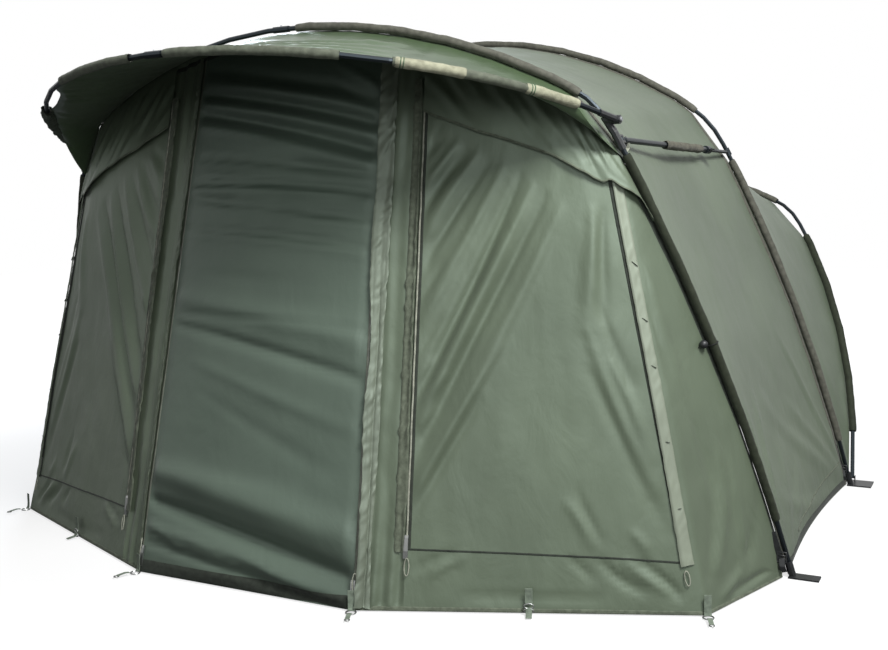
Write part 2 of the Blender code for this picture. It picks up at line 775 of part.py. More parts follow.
def build_brow():
    hub, ahead, path = brow_frame()
    normal = OUT.cross(ahead).normalized()
    total = path_lengths(path)[-1]
    left_path = [mirrored(p) for p in path]
    half = total / 2 - SEAM_GAP / 2
    rod("brow_pole_right", path_slice(path, BROW_POLE_START, half), POLE_RADIUS, POLE_FINISH, normal)
    brow_left = path_slice(left_path, BROW_POLE_START, half)
    joint = rod("brow_pole_left", brow_left, POLE_RADIUS, POLE_FINISH, normal)
    length = path_lengths(brow_left)[-1]
    collar = rod("brow_collar", path_slice(brow_left, length - COLLAR_LENGTH, length),
                 POLE_RADIUS + COLLAR_WALL, POLE_FINISH, normal)
    combine(joint, collar, "UNION")
    middle = point_at(brow_left, length - COLLAR_LENGTH / 2)
    out_way = -normal if normal.z < 0 else normal
    depth = POLE_RADIUS + COLLAR_WALL - BUTTON_WELL_DEPTH
    well = turned("brow_well", middle + out_way * depth, out_way,
                  ((0, BUTTON_RADIUS + RUNNING_GAP), (BUTTON_WELL_DEPTH + CUT_OVERRUN, BUTTON_RADIUS + RUNNING_GAP)),
                  POLE_FINISH, reference=OUT)
    combine(joint, well, "DIFFERENCE")
    start = middle + out_way * (POLE_RADIUS + COLLAR_WALL - BUTTON_DEPTH)
    tall = BUTTON_DEPTH + BUTTON_PROUD
    turned("brow_button", start, out_way,
           ((0, BUTTON_RADIUS), (tall - BUTTON_RADIUS / 3, BUTTON_RADIUS), (tall, BUTTON_RADIUS * 2 / 3)),
           BOLT_FINISH, reference=OUT, sides=TURNED_SIDES // 2)
    for side, way, inner in (("right", path, BROW_RIGHT_SLEEVE_IN), ("left", left_path, BROW_LEFT_SLEEVE_IN)):
        marks = [distance_where(path, out_of, out) for out in
                 (BROW_END_BARE_OUT, BROW_MIDDLE_BARE_OUT, BROW_MIDDLE_BARE_IN, inner)]
        sleeve("brow_end_sleeve_" + side, path_slice(way, marks[0], marks[1]), normal)
        sleeve("brow_top_sleeve_" + side, path_slice(way, marks[2], marks[3]), normal)
    build_brow_cover(path)
    turning = ["brow_pole_right", "brow_pole_left"]
    for side in ("right", "left"):
        turning += ["brow_end_sleeve_" + side, "brow_top_sleeve_" + side]
    turn_about(Vector((0, hub.y, hub.z)), turning)
    turn_about(start, ["brow_button"])
    return hub, ahead


def build_brow_cover(path):
    # Its front edge is sewn in behind the brow pole, its back edge over the front arch.
    depth = OUTER_SLEEVE_RADIUS + SEAM_GAP
    start = distance_where(path, out_of, BROW_END_BARE_OUT)
    total = path_lengths(path)[-1]
    steps = BROW_COVER_STEPS
    seam = FRONT.seam(0, -SEAM_HALF_STEP)
    back = resample(seam[LEG_STEPS + 1:-LEG_STEPS - 1], steps)
    marks = [start + (total - 2 * start) * step / steps for step in range(steps + 1)]
    front = []
    for mark, rear in zip(marks, back):
        point = point_at(path, mark)
        along = (point_at(path, mark + POLE_RADIUS) - point_at(path, mark - POLE_RADIUS)).normalized()
        way = rear - point - UP * (4 * BROW_SAG)
        way = (way - along * way.dot(along)).normalized()
        front.append(point + way * depth)
    grid = []
    for row in range(BROW_COVER_ROWS + 1):
        share = row / BROW_COVER_ROWS
        sag = BROW_SAG * 4 * share * (1 - share)
        grid.append([a.lerp(b, share) - UP * sag for a, b in zip(front, back)][::-1])
    cloth("brow_cover", grid, CLOTH_FINISH)


# Shoulder fittings: block on the front leg, brow knuckle and hinge bolt


def build_shoulder(side, hub, ahead):
    word = "right" if side > 0 else "left"
    turn = as_is if side > 0 else mirrored
    leg = [turn(p) for p in FRONT.path]
    pivot_at = FRONT.shoulder_at - BROW_PIVOT_DROP
    centre = turn(hub)
    outward = OUT * side
    radius = POLE_RADIUS + RUNNING_GAP + BLOCK_WALL
    upper = pivot_at + BOSS_RADIUS
    body = rod("shoulder_block_" + word, path_slice(leg, upper - BLOCK_LENGTH, upper), radius, MOULDED_FINISH)
    boss = turned("boss_" + word, centre, outward, ((0, BOSS_RADIUS), (BOSS_LENGTH, BOSS_RADIUS)), MOULDED_FINISH)
    combine(body, boss, "UNION")
    eye, way, pin_way, target = bar_frame(side)
    across = pin_way.cross(way)
    for sign in (1, -1):
        offset = BAR_EYE_THICKNESS / 2 + RUNNING_GAP + LUG_THICKNESS / 2
        half = (BAR_EYE_SET_BACK + BAR_EYE_RADIUS) / 2
        lug_centre = eye + pin_way * (sign * offset) + way * (BAR_EYE_RADIUS - half)
        lug = block("lug_%s_%d" % (word, sign), lug_centre, (half, BAR_EYE_RADIUS, LUG_THICKNESS / 2),
                    (way, across, pin_way), MOULDED_FINISH)
        combine(body, lug, "UNION")
    hole_length = BAR_EYE_THICKNESS + 2 * LUG_THICKNESS + CUT_OVERRUN
    hole = turned("pin_hole_" + word, eye - pin_way * (hole_length / 2), pin_way,
                  ((0, BAR_PIN_RADIUS + RUNNING_GAP), (hole_length, BAR_PIN_RADIUS + RUNNING_GAP)), MOULDED_FINISH,
                  reference=BACK)
    combine(body, hole, "DIFFERENCE")
    reach = 2 * CUT_OVERRUN
    bore_path = path_slice(leg, upper - BLOCK_LENGTH - reach, upper + reach)
    bore = rod("leg_bore_" + word, bore_path, POLE_RADIUS + RUNNING_GAP, MOULDED_FINISH)
    combine(body, bore, "DIFFERENCE")
    bolt_hole_start = POLE_RADIUS + BOLT_RADIUS * 3 / 4
    bolt_hole = turned("bolt_hole_" + word, centre + outward * bolt_hole_start, outward,
                       ((0, BOLT_RADIUS + RUNNING_GAP), (BOSS_LENGTH, BOLT_RADIUS + RUNNING_GAP)), MOULDED_FINISH)
    combine(body, bolt_hole, "DIFFERENCE")
    face = BOSS_LENGTH + RUNNING_GAP
    build_knuckle(word, centre, outward, ahead, face, turn)
    build_bolt(word, centre, outward, bolt_hole_start + RUNNING_GAP, face + KNUCKLE_THICKNESS + RUNNING_GAP)


def bar_frame(side):
    # Where the bar's eye turns, the way the bar runs, its pin and the pole it bears on.
    turn = as_is if side > 0 else mirrored
    leg = [turn(p) for p in FRONT.path]
    path = [turn(p) for p in MIDDLE.path]
    bar_at = FRONT.shoulder_at - BAR_DROP
    leg_way = (point_at(leg, bar_at + LUG_THICKNESS) - point_at(leg, bar_at - LUG_THICKNESS)).normalized()
    eye = point_at(leg, bar_at) + BACK * BAR_EYE_SET_BACK
    target = point_at(path, distance_where(path, height_of, eye.z))
    way = (target - eye).normalized()
    pin_way = (leg_way - way * leg_way.dot(way)).normalized()
    return eye, way, pin_way, target


def build_knuckle(word, centre, outward, ahead, face, turn):
    start = centre + outward * face
    knuckle = turned("brow_knuckle_" + word, start, outward,
                     ((0, BOSS_RADIUS), (KNUCKLE_THICKNESS, BOSS_RADIUS)), MOULDED_FINISH)
    path = [turn(p) for p in brow_frame()[2]]
    normal = OUT.cross(ahead).normalized()
    socket = rod("socket_" + word, path_slice(path, 0, SOCKET_LENGTH), OUTER_SLEEVE_RADIUS - SLEEVE_WALL / 2,
                 MOULDED_FINISH, normal)
    combine(knuckle, socket, "UNION")
    trim = turned("knuckle_trim_" + word, start - outward * (2 * face), outward,
                  ((0, TRIM_RADIUS), (2 * face + RUNNING_GAP / 2, TRIM_RADIUS)), MOULDED_FINISH)
    combine(knuckle, trim, "DIFFERENCE")
    bore = rod("socket_bore_" + word, path_slice(path, BROW_POLE_START - RUNNING_GAP, SOCKET_LENGTH + CUT_OVERRUN),
               POLE_RADIUS + RUNNING_GAP, MOULDED_FINISH, normal)
    combine(knuckle, bore, "DIFFERENCE")
    hole = turned("knuckle_hole_" + word, start - outward * CUT_OVERRUN, outward,
                  ((0, BOLT_RADIUS + RUNNING_GAP),
                   (KNUCKLE_THICKNESS + 2 * CUT_OVERRUN, BOLT_RADIUS + RUNNING_GAP)), MOULDED_FINISH)
    combine(knuckle, hole, "DIFFERENCE")
    turn_about(centre, ["brow_knuckle_" + word])


def build_bolt(word, centre, outward, shank_start, head_start):
    profile = ((shank_start, BOLT_RADIUS), (head_start, BOLT_RADIUS), (head_start, BOLT_HEAD_RADIUS),
               (head_start + BOLT_HEAD_HEIGHT / 2, BOLT_HEAD_RADIUS),
               (head_start + BOLT_HEAD_HEIGHT, BOLT_HEAD_RADIUS * 2 / 3))
    turned("brow_bolt_" + word, centre, outward, profile, BOLT_FINISH)


# Tension bars


def build_bar(side):
    word = "right" if side > 0 else "left"
    outward = OUT * side
    eye, hook_way, pin_way, target = bar_frame(side)
    outer = turned("bar_outer_" + word, eye, hook_way,
                   ((BAR_EYE_RADIUS / 2, BAR_NECK_RADIUS), (BAR_NECK_LENGTH, BAR_NECK_RADIUS),
                    (BAR_NECK_LENGTH + BAR_RADIUS, BAR_RADIUS),
                    (BAR_OUTER_LENGTH - BAR_LOCK_LENGTH, BAR_RADIUS),
                    (BAR_OUTER_LENGTH - BAR_LOCK_LENGTH, BAR_LOCK_RADIUS),
                    (BAR_OUTER_LENGTH, BAR_LOCK_RADIUS)), POLE_FINISH)
    eye_piece = turned("bar_eye_" + word, eye - pin_way * (BAR_EYE_THICKNESS / 2), pin_way,
                       ((0, BAR_EYE_RADIUS), (BAR_EYE_THICKNESS, BAR_EYE_RADIUS)), MOULDED_FINISH, reference=BACK)
    combine(outer, eye_piece, "UNION")
    pin_length = BAR_EYE_THICKNESS + 2 * LUG_THICKNESS
    pin = turned("bar_pin_" + word, eye - pin_way * (pin_length / 2), pin_way,
                 ((0, BAR_PIN_RADIUS), (pin_length, BAR_PIN_RADIUS)), MOULDED_FINISH, reference=BACK)
    combine(outer, pin, "UNION")
    bore = turned("bar_bore_" + word, eye + hook_way * (BAR_OUTER_LENGTH - BAR_BORE_DEPTH), hook_way,
                  ((0, BAR_BORE_RADIUS), (BAR_BORE_DEPTH + CUT_OVERRUN, BAR_BORE_RADIUS)), POLE_FINISH)
    combine(outer, bore, "DIFFERENCE")
    screw_centre = eye + hook_way * (BAR_OUTER_LENGTH - BAR_LOCK_LENGTH / 2)
    screw_way = (outward - hook_way * outward.dot(hook_way)).normalized()
    screw_hole = turned("screw_hole_" + word, screw_centre, screw_way,
                        ((0, SCREW_RADIUS + RUNNING_GAP), (BAR_LOCK_RADIUS + CUT_OVERRUN, SCREW_RADIUS + RUNNING_GAP)),
                        POLE_FINISH)
    combine(outer, screw_hole, "DIFFERENCE")
    build_screw(word, screw_centre, screw_way, hook_way)
    wrap_end = BAR_OUTER_LENGTH - BAR_LOCK_LENGTH - BAR_WRAP_CLEARANCE
    wrap_path = [eye + hook_way * (wrap_end - BAR_WRAP_LENGTH), eye + hook_way * wrap_end]
    wrap_inner = BAR_RADIUS + SLEEVE_GAP
    pipe("bar_wrap_" + word, wrap_path, wrap_inner + BAR_WRAP_WALL, wrap_inner, WRAP_FINISH, UP, WRAP_SIDES)
    build_inner_bar(word, side, eye, hook_way, target)
    turn_about(eye, ["bar_outer_" + word, "bar_inner_" + word, "bar_wrap_" + word])
    turn_about(screw_centre, ["bar_screw_" + word])


def build_screw(word, centre, way, along):
    tip = BAR_INNER_RADIUS + RUNNING_GAP
    seat = BAR_LOCK_RADIUS + RUNNING_GAP
    screw = turned("bar_screw_" + word, centre, way,
                   ((tip, SCREW_RADIUS), (seat, SCREW_RADIUS), (seat, 2 * SCREW_RADIUS),
                    (seat + 2 * SCREW_RADIUS, 2 * SCREW_RADIUS)), MOULDED_FINISH, sides=TURNED_SIDES // 2)
    wings = block("wings_" + word, centre + way * (seat + SCREW_RADIUS + WING_HEIGHT / 2),
                  (WING_HEIGHT / 2, WING_THICKNESS / 2, WING_SPAN / 2),
                  (way, along.cross(way), along), MOULDED_FINISH)
    combine(screw, wings, "UNION")


def build_inner_bar(word, side, eye, way, target):
    # The thin bar ends in a quarter cup that bears on the front of the middle arch.
    start = BAR_OUTER_LENGTH - BAR_INNER_OVERLAP
    clear = POLE_RADIUS + RUNNING_GAP
    reach = (target - eye).length - clear - HOOK_WALL / 2
    inner = turned("bar_inner_" + word, eye, way, ((start, BAR_INNER_RADIUS), (reach, BAR_INNER_RADIUS)), POLE_FINISH)
    path = [p if side > 0 else mirrored(p) for p in MIDDLE.path]
    hook_at = distance_where(path, height_of, target.z)
    leg_way = (point_at(path, hook_at + HOOK_HEIGHT) - point_at(path, hook_at - HOOK_HEIGHT)).normalized()
    front = (-way + leg_way * way.dot(leg_way)).normalized()
    outward = OUT * side
    side_way = (outward - leg_way * outward.dot(leg_way)).normalized()
    side_way = (side_way - front * side_way.dot(front)).normalized()
    outer_order = range(CUP_STEPS + 1)
    rings = []
    for end in (-1, 1):
        ring = []
        for radius, order in ((clear + HOOK_WALL, outer_order), (clear, reversed(outer_order))):
            for step in order:
                angle = math.pi / 2 * step / CUP_STEPS
                turn_way = front * math.cos(angle) + side_way * math.sin(angle)
                ring.append(target + leg_way * (end * HOOK_HEIGHT / 2) + turn_way * radius)
        rings.append(ring)
    cup = smooth(mesh_piece("bar_cup_" + word, *loft(rings, False), MOULDED_FINISH))
    combine(inner, cup, "UNION")


# Feet


def build_front_foot(side):
    word = "right" if side > 0 else "left"
    turn = as_is if side > 0 else mirrored
    leg = [turn(p) for p in FRONT.path]
    inner_edge = OUTER_SLEEVE_RADIUS - SEAM_GAP
    centre = Vector((side * (FRONT_FOOT_OUT + (PLATE_REACH - inner_edge) / 2), 0, PLATE_THICKNESS / 2))
    half = ((PLATE_REACH + inner_edge) / 2, PLATE_HALF_WIDTH, PLATE_THICKNESS / 2)
    foot = block("front_foot_" + word, centre, half, (OUT, BACK, UP), MOULDED_FINISH)
    start = distance_where(leg, height_of, PLATE_THICKNESS * 3 / 4)
    socket = rod("foot_socket_" + word, path_slice(leg, start, FOOT_SOCKET_LENGTH), inner_edge, MOULDED_FINISH)
    combine(foot, socket, "UNION")
    bore_start = distance_where(leg, height_of, PLATE_THICKNESS + POLE_RADIUS / 2) - RUNNING_GAP
    bore = rod("foot_bore_" + word, path_slice(leg, bore_start, FOOT_SOCKET_LENGTH + CUT_OVERRUN),
               POLE_RADIUS + RUNNING_GAP, MOULDED_FINISH)
    combine(foot, bore, "DIFFERENCE")


def build_rear_foot(side):
    # One plate holds the middle arch in a socket and the rear arch between two ears.
    word = "right" if side > 0 else "left"
    turn = as_is if side > 0 else mirrored
    leg = [turn(p) for p in MIDDLE.path]
    inner_edge = OUTER_SLEEVE_RADIUS - SEAM_GAP
    middle_back = MIDDLE_FOOT_BACK + REAR_PIVOT_SPACING / 2
    centre = Vector((side * (MIDDLE_FOOT_OUT + (PLATE_REACH - inner_edge) / 2), middle_back, PLATE_THICKNESS / 2))
    half = ((PLATE_REACH + inner_edge) / 2, PLATE_HALF_WIDTH + REAR_PIVOT_SPACING / 2, PLATE_THICKNESS / 2)
    foot = block("rear_foot_" + word, centre, half, (OUT, BACK, UP), MOULDED_FINISH)
    start = distance_where(leg, height_of, PLATE_THICKNESS * 3 / 4)
    socket = rod("rear_socket_" + word, path_slice(leg, start, FOOT_SOCKET_LENGTH), inner_edge, MOULDED_FINISH)
    combine(foot, socket, "UNION")
    pivot = Vector((side * MIDDLE_FOOT_OUT, REAR.foot_back, REAR.foot_up))
    for sign in (1, -1):
        offset = POLE_RADIUS + RUNNING_GAP + EAR_THICKNESS / 2
        ear_top = REAR_PIVOT_HEIGHT + 2 * TRUNNION_RADIUS
        ear = block("ear_%s_%d" % (word, sign), Vector((pivot.x + sign * offset, pivot.y, ear_top / 2)),
                    (EAR_THICKNESS / 2, 2 * TRUNNION_RADIUS, ear_top / 2), (OUT, BACK, UP), MOULDED_FINISH)
        combine(foot, ear, "UNION")
    reach = 2 * POLE_RADIUS + CUT_OVERRUN
    hole = turned("trunnion_hole_" + word, pivot - OUT * reach, OUT,
                  ((0, TRUNNION_RADIUS + RUNNING_GAP), (2 * reach, TRUNNION_RADIUS + RUNNING_GAP)), MOULDED_FINISH)
    combine(foot, hole, "DIFFERENCE")
    bore_start = distance_where(leg, height_of, PLATE_THICKNESS + POLE_RADIUS / 2) - RUNNING_GAP
    bore = rod("rear_bore_" + word, path_slice(leg, bore_start, FOOT_SOCKET_LENGTH + CUT_OVERRUN),
               POLE_RADIUS + RUNNING_GAP, MOULDED_FINISH)
    combine(foot, bore, "DIFFERENCE")


# Zip sliders and peg rings


def ways_beside(line, other):
    # Directions from a zip to the cloth line beside it, at several heights.
    low, high = line
    way = (high - low).normalized()
    found = []
    for step in range(SLIDER_MARKS + 1):
        here = low.lerp(high, step / SLIDER_MARKS)
        start, end = other
        share = (here - start).dot(way) / (end - start).dot(way)
        found.append((start.lerp(end, share) - here).normalized())
    return found


def build_slider(name, line, first, second, height):
    # The slider rides on a narrow keel over its zip, tilted and lifted so that its body
    # clears the cloth on both sides all the way up; the pull hangs below it.
    low, high = line
    way = (high - low).normalized()
    ways = [-w for w in ways_beside(line, first)] + ways_beside(line, second)
    across = sum(ways, Vector())
    across = (across - way * across.dot(way)).normalized()
    out = across.cross(way).normalized()
    if out.y > 0:
        out = -out
    steepest = 0
    for index, beside in enumerate(ways):
        climb = beside.dot(out) if index > SLIDER_MARKS else -beside.dot(out)
        steepest = max(steepest, climb / abs(beside.dot(across)))
    lift = SLIDER_GAP + steepest * SLIDER_WIDTH / 2
    start = low + way * (height / way.z) + out * lift
    profile = (
        (0, 0), (SLIDER_LENGTH, 0), (SLIDER_LENGTH, SLIDER_THICKNESS * 2 / 3),
        (SLIDER_LENGTH * 2 / 3, SLIDER_THICKNESS), (0, SLIDER_THICKNESS),
        (-PULL_LENGTH / 2, PULL_THICKNESS + SLIDER_THICKNESS / 2), (-PULL_LENGTH, PULL_THICKNESS),
        (-PULL_LENGTH, 0),
    )
    rings = []
    for side in (-1, 1):
        edge = start + across * (side * SLIDER_WIDTH / 2)
        rings.append([edge + way * along + out * rise for along, rise in profile])
    slider = mesh_piece(name, *loft(rings, False), ZIP_FINISH)
    keel_base = SLIDER_GAP + steepest * KEEL_WIDTH / 2 - lift
    keel_profile = (
        (0, keel_base), (SLIDER_LENGTH, keel_base),
        (SLIDER_LENGTH, SLIDER_THICKNESS / 2), (0, SLIDER_THICKNESS / 2),
    )
    rings = []
    for side in (-1, 1):
        edge = start + across * (side * KEEL_WIDTH / 2)
        rings.append([edge + way * (along * 3 / 4) + out * rise for along, rise in keel_profile])
    keel = mesh_piece(name + "_keel", *loft(rings, False), ZIP_FINISH)
    combine(slider, keel, "UNION")
    turn_about(start, [name])


def build_sliders(zips):
    for name, line, first, second, height in zips:
        build_slider(name + "_zip_slider_right", line, first, second, height)
        left = [tuple(mirrored(p) for p in column) for column in (line, first, second)]
        build_slider(name + "_zip_slider_left", *left, height)


def build_rings(keys):
    for word, turn in (("right", as_is), ("left", mirrored)):
        for name, key, before, after in (("door", 0, 0, 1), ("corner", 3, 2, 3)):
            corner = turn(keys[key][0])
            along = (turn(keys[after][0]) - turn(keys[before][0])).normalized()
            out = along.cross(UP)
            if out.y > 0:
                out = -out
            reach = RING_GAP + RING_WIRE_RADIUS + RING_RADIUS
            centre = Vector((corner.x, corner.y, HEM_HEIGHT)) + out * reach
            path = []
            for step in range(TURNED_SIDES):
                angle = 2 * math.pi * step / TURNED_SIDES
                path.append(centre + along * (RING_RADIUS * math.cos(angle)) + out * (RING_RADIUS * math.sin(angle)))
            rings = []
            for index, point in enumerate(path):
                away = (point - centre).normalized()
                ring = []
                for side in range(POLE_SIDES - 2):
                    angle = 2 * math.pi * side / (POLE_SIDES - 2)
                    lift = away * math.cos(angle) + UP * math.sin(angle)
                    ring.append(point + lift * RING_WIRE_RADIUS)
                rings.append(ring)
            smooth(mesh_piece("%s_ring_%s" % (name, word), *loft(rings, True), ZIP_FINISH))
            turn_about(centre - out * RING_RADIUS, ["%s_ring_%s" % (name, word)])


def centre_on_plan():
    # The origin ends up on the ground below the middle of the whole tent.
    for piece in bpy.data.objects:
        piece.location -= BACK * PLAN_CENTRE_BACK


def main():
    clear_scene()
    build_arch_poles()
    build_arch_sleeves()
    hub, ahead = build_brow()
    for side in (1, -1):
        build_shoulder(side, hub, ahead)
        build_bar(side)
        build_front_foot(side)
        build_rear_foot(side)
    keys, zips = build_front_wall()
    build_skin()
    build_sliders(zips)
    build_rings(keys)
    pivot = Vector((0, REAR.foot_back, REAR.foot_up))
    turn_about(pivot, ["rear_rib", "rear_leg_sleeve_right", "rear_leg_sleeve_left", "rear_roof_sleeve", "rear_wall"])
    centre_on_plan()


main()
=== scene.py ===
# %% [markdown]
# # Dressing a dome tent
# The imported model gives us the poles, the feet and one plain sheet for each cloth panel. This
# lesson keeps the hard parts, gives them real finishes, and sews a new skin over the poles, with
# folds, seam tapes, zips and straps. The skin could be sculpted by hand, but a sheet that is worked
# out by rule can be changed by changing one number. Single stitches are not modelled.

import json
import math
import random

import bmesh
import bpy
import numpy as np
from mathutils import Matrix, Vector, noise

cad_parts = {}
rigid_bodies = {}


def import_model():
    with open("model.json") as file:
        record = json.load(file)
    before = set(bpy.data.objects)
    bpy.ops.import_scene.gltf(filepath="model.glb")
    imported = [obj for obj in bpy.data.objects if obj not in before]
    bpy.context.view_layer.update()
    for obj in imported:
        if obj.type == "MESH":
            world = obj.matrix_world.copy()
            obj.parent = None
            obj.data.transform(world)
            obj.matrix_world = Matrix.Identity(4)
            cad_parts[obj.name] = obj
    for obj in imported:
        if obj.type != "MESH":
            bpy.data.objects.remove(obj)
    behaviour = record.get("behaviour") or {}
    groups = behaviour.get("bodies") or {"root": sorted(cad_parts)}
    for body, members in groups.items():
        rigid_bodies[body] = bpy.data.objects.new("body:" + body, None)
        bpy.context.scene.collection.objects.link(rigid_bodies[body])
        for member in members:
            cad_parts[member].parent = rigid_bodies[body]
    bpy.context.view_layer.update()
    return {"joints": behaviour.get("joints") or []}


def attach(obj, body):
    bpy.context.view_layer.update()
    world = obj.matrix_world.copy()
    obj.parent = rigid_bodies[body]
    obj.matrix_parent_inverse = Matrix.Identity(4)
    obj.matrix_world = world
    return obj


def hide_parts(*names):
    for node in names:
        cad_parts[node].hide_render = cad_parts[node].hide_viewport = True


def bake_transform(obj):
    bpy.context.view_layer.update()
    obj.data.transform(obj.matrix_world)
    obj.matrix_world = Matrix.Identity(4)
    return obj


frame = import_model()
JOINTS = {joint["name"]: joint for joint in frame["joints"]}

# %% [markdown]
# ## The camera
# The picture was taken about 3.5 m from the middle of the door and to the right of it, 1.2 m
# above the ground. A camera could be placed by eye, but then no fold would lie where the picture
# has it. So its place was worked out from pairs of points that are mirror images of each other on
# the tent, and the lens, the tilt and the place belong together.

# %% Camera
CENTRE_BACK = 0.6915
YAW, PITCH, ROLL = (math.radians(a) for a in (27.80, -6.45, -1.13))
LENS_PIXELS = 1098.0
PHOTO_WIDTH = 888.0
SENSOR = 36.0


def look_from(place, yaw, pitch, roll):
    ahead = Vector((-math.sin(yaw) * math.cos(pitch), math.cos(yaw) * math.cos(pitch), math.sin(pitch)))
    right = Vector((math.cos(yaw), math.sin(yaw), 0))
    up = right.cross(ahead)
    tilted_right = right * math.cos(roll) + up * math.sin(roll)
    tilted_up = up * math.cos(roll) - right * math.sin(roll)
    turn = Matrix((tilted_right, tilted_up, -ahead)).transposed()
    return Matrix.Translation(place) @ turn.to_4x4()


camera_data = bpy.data.cameras.new("camera")
camera_data.sensor_width = SENSOR
camera_data.lens = SENSOR * LENS_PIXELS / PHOTO_WIDTH
camera = bpy.data.objects.new("camera", camera_data)
camera.matrix_world = look_from(Vector((2.093, -3.416 - CENTRE_BACK, 1.181)), YAW, PITCH, ROLL)
bpy.context.scene.collection.objects.link(camera)
bpy.context.scene.camera = camera
print("lens", round(camera_data.lens, 2), "mm")

# %% [markdown]
# ## Finishes
# Nearly everything on this tent is coated nylon. It is olive green, but it never looks flat: the
# coating has a soft gloss, the weave breaks up small highlights, and every panel has fine creases
# from being packed. A picture of cloth could be laid on, but it would repeat and need a layout for
# each panel. Here each effect is a layer of noise at its own scale, in the object's coordinates.

# %% Helpers for materials


def new_finish(name, colour, roughness, metallic=0.0):
    made = bpy.data.materials.new(name)
    made.use_nodes = True
    nodes = made.node_tree.nodes
    shader = nodes["Principled BSDF"]
    shader.inputs["Base Color"].default_value = (*colour, 1)
    shader.inputs["Roughness"].default_value = roughness
    shader.inputs["Metallic"].default_value = metallic
    made.diffuse_color = (*colour, 1)
    return made, nodes, made.node_tree.links, shader


def noise_layer(nodes, links, scale, detail=3.0, stretch=(1, 1, 1), distortion=0.0):
    where = nodes.new("ShaderNodeTexCoord")
    fit = nodes.new("ShaderNodeMapping")
    fit.inputs["Scale"].default_value = stretch
    layer = nodes.new("ShaderNodeTexNoise")
    layer.inputs["Scale"].default_value = scale
    layer.inputs["Detail"].default_value = detail
    layer.inputs["Distortion"].default_value = distortion
    links.new(where.outputs["Object"], fit.inputs["Vector"])
    links.new(fit.outputs["Vector"], layer.inputs["Vector"])
    return layer.outputs["Fac"]


def blend_colours(nodes, links, factor, dark, light, low=0.35, high=0.65):
    ramp = nodes.new("ShaderNodeValToRGB")
    ramp.color_ramp.elements[0].position = low
    ramp.color_ramp.elements[1].position = high
    ramp.color_ramp.elements[0].color = (*dark, 1)
    ramp.color_ramp.elements[1].color = (*light, 1)
    links.new(factor, ramp.inputs["Fac"])
    return ramp.outputs["Color"]


def bump_chain(nodes, links, shader, layers):
    # Each layer is (height, strength, distance); the last one faces the shader.
    normal = None
    for height, strength, distance in layers:
        bump = nodes.new("ShaderNodeBump")
        bump.inputs["Strength"].default_value = strength
        bump.inputs["Distance"].default_value = distance
        links.new(height, bump.inputs["Height"])
        if normal is not None:
            links.new(normal, bump.inputs["Normal"])
        normal = bump.outputs["Normal"]
    links.new(normal, shader.inputs["Normal"])


def weave_height(nodes, links, scale):
    # Two crossed sets of fine waves read as warp and weft.
    where = nodes.new("ShaderNodeTexCoord")
    heights = []
    for axis in ("X", "Z"):
        wave = nodes.new("ShaderNodeTexWave")
        wave.bands_direction = axis
        wave.inputs["Scale"].default_value = scale
        wave.inputs["Distortion"].default_value = 0.3
        links.new(where.outputs["Object"], wave.inputs["Vector"])
        heights.append(wave.outputs["Fac"])
    mix = nodes.new("ShaderNodeMath")
    mix.operation = "MAXIMUM"
    links.new(heights[0], mix.inputs[0])
    links.new(heights[1], mix.inputs[1])
    return mix.outputs[0]


print("finish helpers made")

# %% [markdown]
# The coated cloth is the finish of all the panels, so it is one function with a colour, a
# roughness and a depth of crease. In the picture the door shows a little darker than the roof; its
# colour here is a darker green of the same cloth, with that shade painted in. The brow gets a darker,
# stronger green, which is painted shade for its underside, and more gloss. Lamps could do part of
# this, but they would change the other panels too. So these two have greens of their own, found by trial.

# %% Coated cloth
CLOTH_GREEN = (0.082, 0.104, 0.067)
# painted shade: the door's green is darker than the olive cloth, for the shade that falls on the door
DOOR_SHADED_GREEN = (0.062, 0.085, 0.064)
# painted shade: the brow's darker green stands for the shade under the brow
BROW_SHADED_GREEN = (0.056, 0.086, 0.042)


def coated_cloth(name, colour, roughness=0.52, crease=0.5, fine=1.0):
    made, nodes, links, shader = new_finish(name, colour, roughness)
    tone = noise_layer(nodes, links, 2.2, 4.0)
    dark = tuple(c * 0.86 for c in colour)
    light = tuple(c * 1.12 for c in colour)
    links.new(blend_colours(nodes, links, tone, dark, light), shader.inputs["Base Color"])
    patch = noise_layer(nodes, links, 5.0, 3.0)
    gloss = nodes.new("ShaderNodeMapRange")
    gloss.inputs["To Min"].default_value = roughness - 0.06
    gloss.inputs["To Max"].default_value = roughness + 0.08
    links.new(patch, gloss.inputs["Value"])
    links.new(gloss.outputs["Result"], shader.inputs["Roughness"])
    shader.inputs["Specular IOR Level"].default_value = 0.84
    shader.inputs["Specular Tint"].default_value = (0.84, 1.0, 0.89, 1)
    shader.inputs["Sheen Weight"].default_value = 0.10
    shader.inputs["Sheen Roughness"].default_value = 0.4
    soft = noise_layer(nodes, links, 9.0, 4.0, (1.0, 1.0, 0.55), 0.6)
    small = noise_layer(nodes, links, 42.0, 3.0, (1.0, 1.0, 0.7), 0.4)
    bump_chain(nodes, links, shader, [
        (soft, crease * 0.5, 0.016),
        (small, crease * 0.28, 0.003),
        (weave_height(nodes, links, 420.0), 0.05 * fine, 0.0004),
    ])
    return made


SKIN = coated_cloth("coated_nylon_olive", CLOTH_GREEN)
DOOR_SHADED_SKIN = coated_cloth("coated_nylon_door_painted_shade", DOOR_SHADED_GREEN, 0.54, 0.45)
BROW_SHADED_SKIN = coated_cloth("coated_nylon_brow_painted_shade", BROW_SHADED_GREEN, 0.32, 0.5)
print("cloth finishes made")

# %% [markdown]
# Webbing and sleeves are woven from thicker yarn and have no coating, so they are rougher and a
# little browner. Poles are dark anodised tube. Moulded parts are plain black nylon. One helper for
# each kind of stuff keeps the many colours alike in everything else.

# %% Trim and hardware finishes


